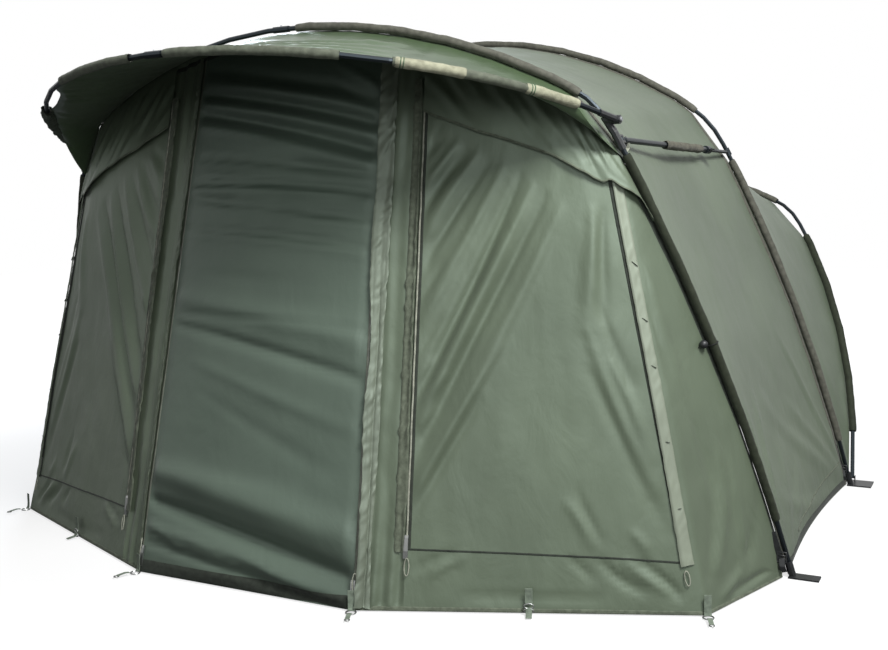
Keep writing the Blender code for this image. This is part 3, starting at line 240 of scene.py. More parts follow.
def woven(name, colour, roughness=0.78, scale=900.0, depth=0.5):
    made, nodes, links, shader = new_finish(name, colour, roughness)
    tone = noise_layer(nodes, links, 60.0, 3.0)
    dark = tuple(c * 0.78 for c in colour)
    light = tuple(c * 1.2 for c in colour)
    links.new(blend_colours(nodes, links, tone, dark, light), shader.inputs["Base Color"])
    shader.inputs["Sheen Weight"].default_value = 0.08
    shader.inputs["Specular IOR Level"].default_value = 0.18
    coarse = noise_layer(nodes, links, 120.0, 2.0)
    bump_chain(nodes, links, shader, [
        (coarse, 0.35 * depth, 0.002),
        (weave_height(nodes, links, scale), 0.3 * depth, 0.0006),
    ])
    return made


def moulded(name, colour, roughness=0.42):
    made, nodes, links, shader = new_finish(name, colour, roughness)
    grain = noise_layer(nodes, links, 420.0, 2.0)
    wear = noise_layer(nodes, links, 30.0, 4.0)
    light = tuple(c * 1.9 + 0.004 for c in colour)
    links.new(blend_colours(nodes, links, wear, colour, light, 0.45, 0.8), shader.inputs["Base Color"])
    bump_chain(nodes, links, shader, [(grain, 0.12, 0.0004)])
    return made


def metal(name, colour, roughness, scratch=0.10):
    made, nodes, links, shader = new_finish(name, colour, roughness, 0.9)
    marks = noise_layer(nodes, links, 90.0, 5.0, (1, 1, 0.12))
    gloss = nodes.new("ShaderNodeMapRange")
    gloss.inputs["To Min"].default_value = roughness - scratch / 2
    gloss.inputs["To Max"].default_value = roughness + scratch
    links.new(marks, gloss.inputs["Value"])
    links.new(gloss.outputs["Result"], shader.inputs["Roughness"])
    bump_chain(nodes, links, shader, [(marks, 0.05, 0.0003)])
    return made


POLE_METAL = metal("anodised_pole", (0.030, 0.037, 0.042), 0.40)
BOLT_METAL = metal("plated_steel", (0.26, 0.27, 0.28), 0.40)
RING_METAL = metal("ring_steel", (0.30, 0.31, 0.30), 0.30)
BLACK_NYLON = moulded("black_nylon", (0.012, 0.013, 0.014))
SLEEVE_CLOTH = woven("roof_sleeve", (0.092, 0.092, 0.074), 0.72)
# painted shade: the leg sleeves are a much darker copy of the roof sleeve cloth, for the shade on the upright
# legs
SHADED_LEG_SLEEVE = woven("leg_sleeve", (0.022, 0.027, 0.016), 0.72)
BROW_SLEEVE = woven("brow_sleeve", (0.104, 0.116, 0.086), 0.7)
TAPE_CLOTH = woven("edge_tape", (0.110, 0.128, 0.092), 0.7)
DARK_TAPE = woven("dark_tape", (0.030, 0.036, 0.028), 0.7)
FLAP_CLOTH = coated_cloth("storm_flap", (0.195, 0.218, 0.165), 0.55, 0.4)
DOOR_FLAP = coated_cloth("door_flap", (0.125, 0.145, 0.108), 0.55, 0.5)
# painted shade: a darker copy of the flap cloth for the flaps on the left side
SHADED_FLAP = coated_cloth("left_flap_painted_shade", (0.080, 0.095, 0.064), 0.6, 0.4)
WRAP_CLOTH = woven("fleece_strap", (0.300, 0.300, 0.215), 0.88, 300.0, 1.0)
STRIPE_CLOTH = woven("strap_stripe", (0.060, 0.105, 0.060), 0.8)
WEB_CLOTH = woven("green_webbing", (0.055, 0.070, 0.048), 0.75)
PALE_WEB = woven("pale_webbing", (0.30, 0.31, 0.25), 0.8)
TAB_WEB = woven("tab_webbing", (0.165, 0.200, 0.155), 0.8)
BAR_FLEECE = woven("bar_fleece", (0.105, 0.102, 0.078), 0.88, 300.0, 1.0)
ZIP_COIL = moulded("zip_coil", (0.095, 0.105, 0.080), 0.35)
BLACK_CORD = woven("black_cord", (0.014, 0.015, 0.015), 0.6, 1200.0)
print("trim finishes made")

# %% [markdown]
# ## The arches again
# The cloth has to meet the poles exactly. Their lines could be picked off the meshes, but a drawn
# line is smoother and can be asked for any length along it. So the same arches are drawn here that
# the model was built from. An arch is a bowed leg, a soft bend at the shoulder and a curved roof,
# drawn flat and then leaned forward or back.

# %% Sizes of the frame
BEND_RUN = 0.100
SEAM_DEPTH = 0.0135
LEG_STEPS, BEND_STEPS, ROOF_STEPS = 6, 3, 13
UP, BACK, OUT = Vector((0, 0, 1)), Vector((0, 1, 0)), Vector((1, 0, 0))


def arc_between(start, end, bow, steps):
    half = (end - start).length / 2
    radius = (half * half + bow * bow) / (2 * bow)
    along = (end - start).normalized()
    side = Vector((along.y, -along.x))
    centre = (start + end) / 2 + side * (bow - radius)
    reach = math.asin(min(1, half / radius))
    points = []
    for step in range(steps + 1):
        angle = reach * (2 * step / steps - 1)
        points.append(centre + along * (radius * math.sin(angle)) + side * (radius * math.cos(angle)))
    return points


def mirrored(p):
    return Vector((-p.x, p.y, p.z))


class Path:
    """A line through points that can be asked for places by length."""

    def __init__(self, points):
        self.points = [Vector(p) for p in points]
        self.marks = [0.0]
        for a, b in zip(self.points, self.points[1:]):
            self.marks.append(self.marks[-1] + (b - a).length)
        self.length = self.marks[-1]

    def at(self, distance):
        distance = max(0.0, min(distance, self.length))
        i = int(np.searchsorted(self.marks, distance, side="right")) - 1
        i = max(0, min(i, len(self.points) - 2))
        span = self.marks[i + 1] - self.marks[i]
        return self.points[i].lerp(self.points[i + 1], (distance - self.marks[i]) / span)

    def way(self, distance, reach=0.01):
        return (self.at(distance + reach) - self.at(distance - reach)).normalized()

    def where(self, measure, value):
        for i in range(len(self.points) - 1):
            low, high = measure(self.points[i]), measure(self.points[i + 1])
            if (low - value) * (high - value) <= 0 and low != high:
                return self.marks[i] + (self.marks[i + 1] - self.marks[i]) * (value - low) / (high - low)
        return self.length

    def between(self, start, end, steps):
        return [self.at(start + (end - start) * i / steps) for i in range(steps + 1)]

    def mirrored(self):
        return Path([mirrored(p) for p in self.points])


class Arch:
    """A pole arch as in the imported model."""

    def __init__(self, foot_out, foot_back, foot_up, shoulder, bow, rise, lean, roof_lean):
        self.foot_back, self.foot_up = foot_back - CENTRE_BACK, foot_up
        self.shoulder = Vector(shoulder)
        self.lean, self.roof_lean = math.radians(lean), math.radians(roof_lean)
        leg = Path([p.to_3d() for p in arc_between(Vector((foot_out, 0)), self.shoulder, bow, LEG_STEPS)])
        across = Vector((-self.shoulder.x, self.shoulder.y))
        roof = Path([p.to_3d() for p in arc_between(self.shoulder, across, rise, ROOF_STEPS)])
        lower = self.cut(leg, 0, leg.length - BEND_RUN)
        upper = self.cut(roof, BEND_RUN, roof.length - BEND_RUN)
        corner = self.shoulder.to_3d()
        bend = []
        for step in range(1, BEND_STEPS):
            share = step / BEND_STEPS
            bend.append(lower[-1].lerp(corner, share).lerp(corner.lerp(upper[0], share), share))
        right = lower + bend + upper[:1]
        self.flat = right + upper[1:-1] + [mirrored(p) for p in reversed(right)]
        self.path = Path([self.place(p) for p in self.flat])
        self.shoulder_at = self.path.where(lambda p: p.x, right[len(lower) + len(bend) // 2].x)

    def cut(self, path, start, end):
        inside = [p for p, m in zip(path.points, path.marks) if start + 0.002 < m < end - 0.002]
        return [path.at(start)] + inside + [path.at(end)]

    def place(self, flat):
        low = min(flat.y, self.shoulder.y)
        high = max(flat.y - self.shoulder.y, 0)
        back = -low * math.sin(self.lean) - high * math.sin(self.roof_lean)
        up = low * math.cos(self.lean) + high * math.cos(self.roof_lean)
        return Vector((flat.x, self.foot_back + back, self.foot_up + up))

    def inward(self, depth):
        moved = []
        for i, flat in enumerate(self.flat):
            way = (self.flat[min(i + 1, len(self.flat) - 1)] - self.flat[max(i - 1, 0)]).normalized()
            moved.append(self.place(flat + Vector((-way.y, way.x, 0)) * depth))
        return Path(moved)


FRONT = Arch(1.500, 0, 0, (1.000, 1.500), 0.045, 0.300, 14.0, 20.0)
MIDDLE = Arch(1.510, 1.211, 0, (1.010, 1.500), 0.050, 0.370, 12.0, 12.0)
REAR = Arch(1.510, 1.211 + 0.048, 0.020, (1.134, 1.270), 0.085, 0.300, -30.0, -30.0)
BARE = {FRONT: (0.200, 0.200, 0.025), MIDDLE: (0.200, 0.200, 0.040), REAR: (0.200, 0.200, 0.040)}
for word, arch in (("front", FRONT), ("middle", MIDDLE), ("rear", REAR)):
    print(word, "arch", round(arch.path.length, 3), "m of pole")


def seam_of(arch, layer=0.0):
    # Where a panel's edge is stitched in: up the leg, straight past the bend, over the roof.
    full = arch.inward(SEAM_DEPTH + layer)
    start = full.where(lambda p: p.z, 0.0045) if full.points[0].z < 0.0045 else 0
    leg_end = arch.shoulder_at - BARE[arch][1]
    roof_start = arch.shoulder_at + BARE[arch][2]
    leg = full.between(start, leg_end, 24)
    roof = full.between(roof_start, full.length - roof_start, 60)
    return Path(leg + roof + [mirrored(p) for p in reversed(leg)])


# %% [markdown]
# ## Sheets with folds
# Each panel is a fine grid of points. It starts as the smooth surface between its seams. Folds
# are then pushed in along the surface's own normals: long ridges where the cloth is pulled
# between two points, and soft noise for slack. A cloth simulation would find folds of its own;
# placing them by rule puts them where the picture has them.

# %% Grids


def normals_of(grid):
    across = np.gradient(grid, axis=1)
    up = np.gradient(grid, axis=0)
    n = np.cross(across, up)
    return n / np.maximum(np.linalg.norm(n, axis=2, keepdims=True), 1e-9)


def soft_noise(grid, scale, stretch=(1, 1, 1), seed=0.0):
    out = np.zeros(grid.shape[:2])
    for r in range(grid.shape[0]):
        for c in range(grid.shape[1]):
            p = grid[r, c]
            out[r, c] = noise.noise(Vector((p[0] * stretch[0] * scale + seed, p[1] * stretch[1] * scale,
                                            p[2] * stretch[2] * scale)))
    return out


def new_piece(name, points, faces, finish, smooth=True):
    mesh = bpy.data.meshes.new(name)
    mesh.from_pydata(points, [], faces)
    if smooth:
        mesh.shade_smooth()
    mesh.materials.append(finish)
    piece = bpy.data.objects.new(name, mesh)
    bpy.context.scene.collection.objects.link(piece)
    return piece


def grid_mesh(name, grid, finish):
    rows, columns = grid.shape[:2]
    faces = []
    for r in range(rows - 1):
        for c in range(columns - 1):
            a = r * columns + c
            faces.append((a, a + 1, a + columns + 1, a + columns))
    return new_piece(name, grid.reshape(-1, 3).tolist(), faces, finish)


class Sheet:
    """A finished panel that trim can be laid on, by shares across and up."""

    def __init__(self, name, grid, finish, held, nodes, body="frame_and_skin"):
        self.grid = grid
        self.normals = normals_of(grid)
        self.piece = grid_mesh(name, grid, finish)
        self.held, self.nodes, self.body = held, nodes, body

    def at(self, across, up, lift=0.0):
        rows, columns = self.grid.shape[:2]
        x = min(max(across, 0), 1) * (columns - 1)
        y = min(max(up, 0), 1) * (rows - 1)
        c, r = min(int(x), columns - 2), min(int(y), rows - 2)
        fx, fy = x - c, y - r
        out = []
        for data in (self.grid, self.normals):
            low = data[r, c] * (1 - fx) + data[r, c + 1] * fx
            high = data[r + 1, c] * (1 - fx) + data[r + 1, c + 1] * fx
            out.append(Vector(low * (1 - fy) + high * fy))
        return out[0] + out[1] * lift, out[1]


print("grid helpers made")

# %% [markdown]
# ## Folds drawn by rule
# A fold is a soft ridge along a line on the flat cloth. Where a panel hangs from one point, many
# such ridges run out of that point like a fan. Both are written in metres, so a fold keeps its
# width whatever panel it is laid on.

# %% Fold shapes


def flat_plan(grid):
    # Distance across and up in metres for every point of a grid.
    across = np.zeros(grid.shape[:2])
    up = np.zeros(grid.shape[:2])
    across[:, 1:] = np.cumsum(np.linalg.norm(np.diff(grid, axis=1), axis=2), axis=1)
    up[1:, :] = np.cumsum(np.linalg.norm(np.diff(grid, axis=0), axis=2), axis=0)
    return across, up


def ridge(plan, start, end, width, height, bend=0.0):
    across, up = plan
    dx, dy = end[0] - start[0], end[1] - start[1]
    length = math.hypot(dx, dy)
    t = ((across - start[0]) * dx + (up - start[1]) * dy) / length ** 2
    off = ((across - start[0]) * dy - (up - start[1]) * dx) / length
    off = off + bend * np.sin(np.pi * np.clip(t, 0, 1))
    fade = np.clip(np.sin(np.pi * np.clip(t, 0, 1)), 0, 1) ** 0.6
    return height * fade * np.exp(-(off / (width * (0.6 + 0.6 * np.clip(t, 0, 1)))) ** 2)


def fan(plan, centre, angles, length, width, height, seed):
    dice = random.Random(seed)
    total = np.zeros(plan[0].shape)
    for angle in angles:
        a = math.radians(angle + dice.uniform(-4, 4))
        reach = length * dice.uniform(0.6, 1.1)
        end = (centre[0] + reach * math.cos(a), centre[1] + reach * math.sin(a))
        size = height * dice.uniform(0.5, 1.1) * dice.choice((1, 1, -0.8))
        total += ridge(plan, centre, end, width * dice.uniform(0.7, 1.3), size, dice.uniform(-0.01, 0.01))
    return total


def edge_fade(grid, depth=0.05):
    # One inside the panel, nought at its sewn edges.
    rows, columns = grid.shape[:2]
    across, up = flat_plan(grid)
    from_side = np.minimum(across, across[:, -1:] - across)
    from_end = np.minimum(up, up[-1:, :] - up)
    return np.clip(np.minimum(from_side, from_end) / depth, 0, 1) ** 0.8


def folded(grid, depth, smooth_edge=0.04):
    return grid + normals_of(grid) * (depth * edge_fade(grid, smooth_edge))[..., None]


print("fold helpers made")

# %% [markdown]
# ## The front wall
# Its sheets share straight lines that run from the ground to the front arch: the door's zip, the
# inner and outer zips of each window, and the fold at the corner peg. The tops follow the seam
# under the arch. Grids that share these lines meet without gaps, which separate sheets fitted by
# eye would not.

# %% Lines of the front wall
HEM = 0.0035
DOOR_CORNER = Vector((0.406, -0.825 - CENTRE_BACK, HEM))
FRONT_CORNER = Vector((1.344, -0.436 - CENTRE_BACK, HEM))
WALL_WAY = (FRONT_CORNER - DOOR_CORNER).normalized()
PILLAR_LOW = DOOR_CORNER + WALL_WAY * 0.150
ZIP_LOW = FRONT_CORNER - WALL_WAY * 0.036
wall_seam = seam_of(FRONT, 0.0030)
middle_point = len(wall_seam.points) // 2
wall_right = Path(list(reversed(wall_seam.points[:middle_point + 1])))


def height_of(p):
    return p.z


def out_of(p):
    return p.x


FOOT_LOW = wall_right.points[-1].lerp(FRONT_CORNER, 0.03 / (FRONT_CORNER - wall_right.points[-1]).length)
TOP_MARKS = [wall_right.where(out_of, 0.345), wall_right.where(out_of, 0.485)]
TOP_MARKS += [wall_right.where(height_of, z) for z in (1.38, 1.22, 0.06)]


def columns_grid(lows, marks, knots, columns, rows, path):
    # knots are the shares across at which each low point and seam mark lies.
    grid = np.zeros((rows + 1, columns + 1, 3))
    lows = np.array([list(p) for p in lows])
    for c in range(columns + 1):
        u = c / columns
        low = np.array([np.interp(u, knots, lows[:, k]) for k in range(3)])
        high = np.array(path.at(float(np.interp(u, knots, marks))))
        for r in range(rows + 1):
            grid[r, c] = low + (high - low) * r / rows
    return grid


def mirror_grid(grid):
    turned = grid[:, ::-1].copy()
    turned[..., 0] *= -1
    return turned


WINDOW_SHARE, CORNER_SHARE = 0.70, 0.77
wall_grid = columns_grid([PILLAR_LOW, ZIP_LOW, FRONT_CORNER, FOOT_LOW], TOP_MARKS[1:],
                         [0, WINDOW_SHARE, CORNER_SHARE, 1], 104, 104, wall_right)
pillar_grid = columns_grid([DOOR_CORNER, PILLAR_LOW], TOP_MARKS[:2], [0, 1], 22, 130, wall_right)
door_tops = Path([mirrored(p) for p in reversed(wall_right.between(0, TOP_MARKS[0], 30)[1:])]
                 + wall_right.between(0, TOP_MARKS[0], 30))
door_grid = columns_grid([mirrored(DOOR_CORNER), DOOR_CORNER], [0, door_tops.length], [0, 1], 80, 130,
                         door_tops)
print("front wall", wall_grid.shape, "door", door_grid.shape)

# %% [markdown]
# The door is one sheet between its two zips and hangs a little slack. Broad folds cross it from
# the left zip down to the right one, and the deepest lies low, just above the ground. They could
# be left to noise, but here they are a table of ridges, so that each can be moved on its own.

# %% Door
SHEETS = {}


def dress(name, grid, finish, held, nodes, body="frame_and_skin"):
    SHEETS[name] = Sheet(name, grid, finish, held, nodes, body)


def slack_noise(grid, size, seed, stretch=(1, 1, 1), scale=5.0):
    return soft_noise(grid, scale, stretch, seed) * size


plan = flat_plan(door_grid)
wide, tall = float(plan[0].max()), float(plan[1].max())
SWAGS = (
    # left height, right height, half width, depth: valleys and ridges that cross the whole door
    (1.665, 1.500, 0.018, -0.008), (1.620, 1.455, 0.022, 0.008), (1.584, 1.424, 0.021, -0.026),
    (1.553, 1.382, 0.018, 0.012), (1.518, 1.331, 0.021, -0.026), (1.475, 1.285, 0.030, 0.012),
    (1.358, 1.278, 0.009, -0.006), (1.265, 1.238, 0.011, -0.010), (1.242, 1.212, 0.014, 0.007),
    (1.211, 1.145, 0.009, -0.007), (1.118, 1.065, 0.010, -0.007), (1.094, 1.040, 0.011, 0.004),
    (0.900, 0.770, 0.042, 0.012), (0.825, 0.825, 0.010, -0.005), (0.812, 0.652, 0.018, -0.014),
    (0.330, 0.190, 0.055, 0.026), (0.232, 0.078, 0.026, -0.034), (0.150, 0.020, 0.022, 0.016),
    (0.090, -0.010, 0.014, -0.012),
)
depth = np.zeros(door_grid.shape[:2])
for left, right, width, size in SWAGS:
    depth += ridge(plan, (-0.12, left + 0.02), (wide + 0.10, right - 0.02), width, size, 0.012)
SHORT_FOLDS = (
    ((0.00, 1.46), (0.45, 1.38), 0.014, -0.007), ((0.00, 1.24), (0.26, 1.20), 0.012, -0.006),
    ((0.80, 1.22), (0.38, 1.21), 0.012, -0.006), ((0.80, 1.30), (0.42, 1.32), 0.012, -0.006),
    ((0.80, 1.12), (0.45, 1.15), 0.012, 0.005), ((0.05, 1.31), (0.30, 1.27), 0.012, 0.005),
    ((0.10, 0.70), (0.80, 0.50), 0.022, 0.005), ((0.16, 0.60), (0.75, 0.36), 0.026, -0.004),
    ((0.02, 0.34), (0.60, 0.30), 0.022, 0.004), ((0.10, 0.12), (0.40, 0.06), 0.010, 0.007),
    ((0.24, 0.13), (0.52, 0.06), 0.010, -0.007), ((0.46, 0.08), (0.70, 0.03), 0.010, 0.007),
    ((0.02, 0.16), (0.20, 0.08), 0.009, 0.006), ((0.52, 1.66), (0.78, 1.52), 0.014, 0.008),
    ((0.50, 1.60), (0.78, 1.46), 0.012, -0.006), ((0.10, 0.98), (0.50, 0.95), 0.020, -0.003),
)
for start, end, width, size in SHORT_FOLDS:
    depth += ridge(plan, start, end, width, size)
# The door bulges a little, so both its sides turn away towards the zips.
fullness = plan[0] / plan[0][:, -1:]
depth += 0.030 * np.sin(math.pi * fullness) ** 0.7 * np.sin(math.pi * np.clip(plan[1] / tall, 0, 1)) ** 0.5
depth += (slack_noise(door_grid, 0.004, 7.0, (0.7, 1, 1.2), 3.4)
          + slack_noise(door_grid, 0.0010, 9.0, (0.6, 1, 1.3), 15.0))
door_grid = folded(door_grid, depth, 0.03)
# The door takes the darker copy of the cloth, with its shade painted into the colour.
dress("door_cloth", door_grid, DOOR_SHADED_SKIN, "hung", ["door"])
print("door", round(wide, 3), "x", round(tall, 3), "m")

# %% [markdown]
# The pillars beside the door are gathered: their cloth is wider than the gap it fills, so it
# stands in narrow upright pleats, deepest at the ground and under the arch. A wave across the
# pillar gives the pleats, and noise keeps them from being even.

# %% Pillars


def pillar_depth(grid, seed):
    across, up = flat_plan(grid)
    share = across / across.max(axis=1, keepdims=True)
    rise = up / up.max()
    wave = soft_noise(grid, 2.2, (1, 1, 1), seed) * 0.10
    inner = share if seed < 30 else 1 - share
    pleats = np.sin((share + wave) * math.pi * 6.0) * (0.0012 + 0.0030 * np.clip((rise - 0.72) / 0.28, 0, 1)
                                                       + 0.0040 * np.clip((0.22 - rise) / 0.22, 0, 1))
    narrow = np.sin((inner + wave * 0.6) * math.pi * 16.0) * 0.0028
    pleats += narrow * np.clip((0.42 - inner) / 0.1, 0, 1) * np.clip((0.75 - rise) / 0.3, 0, 1)
    buckle = soft_noise(grid, 13.0, (1, 1, 0.35), seed + 5) * 0.0050
    fine = soft_noise(grid, 34.0, (1, 1, 0.5), seed + 9) * 0.0016
    return pleats + buckle + fine


for side, grid, seed in (("right", pillar_grid, 21.0), ("left", mirror_grid(pillar_grid), 48.0)):
    grid = folded(grid, pillar_depth(grid, seed), 0.012)
    dress("pillar_cloth_" + side, grid, SKIN, "hung", ["pillar_" + side])
print("pillars", pillar_grid.shape)

# %% [markdown]
# Each side wall has a window closed by its cover. Long slanting folds run from the top of the
# cover down to its inner zip; past the outer zip, folds fan out from near the corner peg. Both
# walls use one table of folds, with small changes drawn from a seed, so they aren't copies.

# %% Side walls


WINDOW_FOLDS = (
    # across and up where a fold starts and ends, half width, depth
    (0.085, 0.84, 0.00, 0.780, 0.012, -0.009), (0.130, 0.84, 0.01, 0.740, 0.014, 0.008),
    (0.165, 0.83, 0.00, 0.680, 0.013, -0.011), (0.205, 0.83, 0.01, 0.640, 0.016, 0.010),
    (0.245, 0.82, 0.00, 0.575, 0.013, -0.011), (0.290, 0.82, 0.01, 0.500, 0.018, 0.011),
    (0.345, 0.81, 0.00, 0.345, 0.015, -0.016), (0.385, 0.80, 0.01, 0.310, 0.020, 0.013),
    (0.430, 0.79, 0.00, 0.245, 0.017, -0.016), (0.480, 0.78, 0.01, 0.200, 0.024, 0.011),
    (0.270, 0.49, 0.00, 0.170, 0.012, 0.009), (0.200, 0.38, 0.00, 0.140, 0.012, -0.007),
    (0.510, 0.55, 0.65, 0.230, 0.020, 0.007), (0.500, 0.47, 0.67, 0.140, 0.020, -0.006),
    (0.570, 0.50, 0.66, 0.300, 0.018, 0.006), (0.550, 0.62, 0.64, 0.440, 0.018, -0.005),
    (0.590, 0.80, 0.50, 0.520, 0.026, 0.007), (0.640, 0.82, 0.58, 0.560, 0.022, -0.006),
    (0.400, 0.21, 0.48, 0.120, 0.014, 0.006), (0.440, 0.24, 0.50, 0.125, 0.012, -0.005),
    (0.570, 0.16, 0.62, 0.115, 0.012, 0.006), (0.400, 0.102, 0.47, 0.062, 0.009, -0.007),
    (0.480, 0.102, 0.60, 0.040, 0.010, -0.009), (0.540, 0.102, 0.65, 0.040, 0.011, 0.008),
    (0.590, 0.102, 0.68, 0.030, 0.010, -0.009), (0.020, 0.070, 0.13, 0.100, 0.009, -0.006),
    (0.060, 0.055, 0.16, 0.100, 0.010, 0.006), (0.130, 0.030, 0.50, 0.026, 0.008, -0.005),
    (0.870, 0.62, 0.81, 0.090, 0.020, 0.011), (0.840, 0.50, 0.785, 0.070, 0.014, -0.009),
    (0.930, 0.55, 0.86, 0.070, 0.020, -0.009), (0.800, 0.70, 0.84, 0.300, 0.022, -0.006),
    (0.760, 0.80, 0.82, 0.520, 0.018, 0.007), (0.740, 0.70, 0.78, 0.460, 0.014, -0.006),
    (0.900, 0.22, 0.81, 0.020, 0.016, 0.010), (0.960, 0.16, 0.84, 0.015, 0.014, -0.009),
)


def spot_on(plan, across, up):
    # Metres across and up for a pair of shares.
    rows, columns = plan[0].shape
    row, column = round(up * (rows - 1)), round(across * (columns - 1))
    return float(plan[0][row, column]), float(plan[1][row, column])


def wall_depth(grid, seed):
    plan = flat_plan(grid)
    tall = float(plan[1].max())
    depth = np.zeros(grid.shape[:2])
    dice = random.Random(seed)
    for a, u, b, v, width, size in WINDOW_FOLDS:
        shift = dice.uniform(-0.012, 0.012)
        height = size * dice.uniform(0.85, 1.1)
        depth += ridge(plan, spot_on(plan, a, u), spot_on(plan, b, v), width, height, shift)
    for step in range(12):
        base = tall * (0.30 + 0.045 * step)
        reach = dice.uniform(0.05, 0.12)
        size = dice.uniform(0.003, 0.006) * dice.choice((1, -1))
        depth += ridge(plan, (0.0, base), (reach, base + reach * dice.uniform(0.9, 1.6)), 0.008, size)
    depth += fan(plan, spot_on(plan, 0.86, 0.02), (60, 72, 84, 96, 108), 0.65, 0.018, 0.006, seed + 2)
    depth += (slack_noise(grid, 0.006, seed, (1, 1, 0.4), 4.5)
              + slack_noise(grid, 0.0016, seed + 4, (1, 1, 0.5), 17.0))
    return depth


for side, seed in (("right", 31), ("left", 57)):
    depth = wall_depth(wall_grid, seed)
    grid = wall_grid if side == "right" else mirror_grid(wall_grid)
    grid = folded(grid, depth if side == "right" else depth[:, ::-1], 0.035)
    dress("side_wall_" + side, grid, SKIN, "hung", ["front_wall_" + side])
print("side walls done")

# %% [markdown]
# ## Roof, back and brow
# These panels stretch between two arches and hang in a little towards the inside. Folds fan out
# from the feet, where the cloth is gathered, and short creases sit along the arches where it is
# sewn to the sleeves. One surface from arch to arch keeps the curve whole, as flat pieces would
# not.

# %% Roof panels


def left_to_right(path, count):
    return [Vector(p) for p in reversed(path.between(0, path.length, count))]


def stretched(first, second, rows, sag):
    columns = len(first)
    grid = np.zeros((rows + 1, columns, 3))
    middle = Vector((0, (first[0].y + second[0].y) / 2, 0))
    for c in range(columns):
        start, end = first[c], second[c]
        for r in range(rows + 1):
            share = r / rows
            point = start.lerp(end, share)
            way = (middle - point).normalized()
            grid[r, c] = point + way * (sag * (end - start).length * 4 * share * (1 - share))
    return grid


def edge_creases(grid, seed, size=0.004, reach=0.16, count=46):
    # Short creases that run away from both long seams.
    plan = flat_plan(grid)
    dice = random.Random(seed)
    total = np.zeros(grid.shape[:2])
    long_way = float(plan[0].max())
    for step in range(count):
        place = long_way * (step + dice.uniform(0.1, 0.9)) / count
        column = int(np.argmin(np.abs(plan[0][0] - place)))
        deep = float(plan[1][-1, column])
        length = reach * dice.uniform(0.4, 1.2)
        lean = dice.uniform(-0.05, 0.05)
        if dice.random() < 0.5:
            start, end = (place, 0.0), (place + lean, length)
        else:
            start, end = (place, deep), (place + lean, deep - length)
        total += ridge(plan, start, end, 0.010, size * dice.uniform(-1, 1))
    return total


canopy_grid = stretched(left_to_right(seam_of(FRONT), 210), left_to_right(seam_of(MIDDLE), 210), 84, 0.024)
plan = flat_plan(canopy_grid)
long_way, deep = float(plan[0].max()), float(plan[1][:, 0].max())
depth = edge_creases(canopy_grid, 11)
for foot, turn in ((0.0, 1), (long_way, -1)):
    for row_end, angles in ((deep, (-22, -38, -54, -70, -82)), (0.0, (14, 28, 46, 64))):
        aimed = [a if turn > 0 else 180 - a for a in angles]
        depth += fan(plan, (foot + 0.02 * turn, row_end), aimed, 1.05, 0.026, 0.010,
                     int(row_end * 10) + turn + 5)
depth += (slack_noise(canopy_grid, 0.008, 61.0, (1, 1, 1), 2.6)
          + slack_noise(canopy_grid, 0.0016, 63.0, (1, 1, 1), 16.0))
dress("canopy_cloth", folded(canopy_grid, depth), SKIN, "stretched", ["canopy"])

gore_front = seam_of(MIDDLE, 0.0024)
gore_grid = stretched(left_to_right(gore_front, 190), left_to_right(seam_of(REAR), 190), 72, 0.028)
plan = flat_plan(gore_grid)
long_way = float(plan[0].max())
depth = edge_creases(gore_grid, 17, 0.005, 0.22)
for foot, turn in ((0.0, 1), (long_way, -1)):
    aimed = [a if turn > 0 else 180 - a for a in (4, 10, 16, 24, 32, 40)]
    depth += fan(plan, (foot + 0.05 * turn, 0.04), aimed, 1.3, 0.030, 0.013, 71 + turn)
depth += (slack_noise(gore_grid, 0.008, 81.0, (1, 1, 1), 2.6)
          + slack_noise(gore_grid, 0.0018, 83.0, (1, 1, 1), 16.0))
dress("rear_gore_cloth", folded(gore_grid, depth), SKIN, "stretched", ["rear_gore"])

rear_seam = seam_of(REAR, 0.0024)
rear_half = Path(list(reversed(rear_seam.points[:len(rear_seam.points) // 2 + 1])))
REAR_CORNER = Vector((1.180, 2.120 - CENTRE_BACK, HEM))
REAR_MIDDLE = Vector((0, 2.450 - CENTRE_BACK, HEM))
rear_foot = rear_half.points[-1].lerp(REAR_CORNER, 0.03 / (REAR_CORNER - rear_half.points[-1]).length)
rear_foot.z = HEM
rear_marks = [rear_half.where(height_of, 0.06), rear_half.where(out_of, 1.180), 0.0]
half = columns_grid([rear_foot, REAR_CORNER, REAR_MIDDLE], rear_marks, [0, 0.5, 1], 80, 74, rear_half)
other = half[:, ::-1][:, 1:].copy()
other[..., 0] *= -1
rear_grid = np.concatenate([half, other], axis=1)
rows, columns = rear_grid.shape[:2]
share_up = np.linspace(0, 1, rows)[:, None]
share_across = np.linspace(0, 1, columns)[None, :]
rear_grid[..., 1] -= 0.030 * 4 * share_up * (1 - share_up) * np.sin(math.pi * share_across)
plan = flat_plan(rear_grid)
long_way = float(plan[0][0].max())
depth = edge_creases(rear_grid, 23, 0.004, 0.18)
for centre in (0.55, long_way / 2, long_way - 0.55):
    depth += fan(plan, (centre, 0.0), (40, 62, 84, 106, 128, 145), 0.75, 0.026, 0.008, int(centre * 10))
depth += (slack_noise(rear_grid, 0.007, 91.0, (1, 1, 0.6), 3.0)
          + slack_noise(rear_grid, 0.0016, 93.0, (1, 1, 1), 16.0))
dress("rear_wall_cloth", folded(rear_grid, depth), SKIN, "hung", ["rear_wall"], body="rear_arch")
print("roof panels", canopy_grid.shape, gore_grid.shape, rear_grid.shape)

# %% [markdown]
# The brow is the peak over the door, stretched from the brow pole back to the front arch. It could
# be cut from a flat shape, but both its long edges curve. So the two edges are drawn first, then
# joined column by column, and every column hangs down by up to 20 mm. On the left the front edge is
# drawn back at two places.

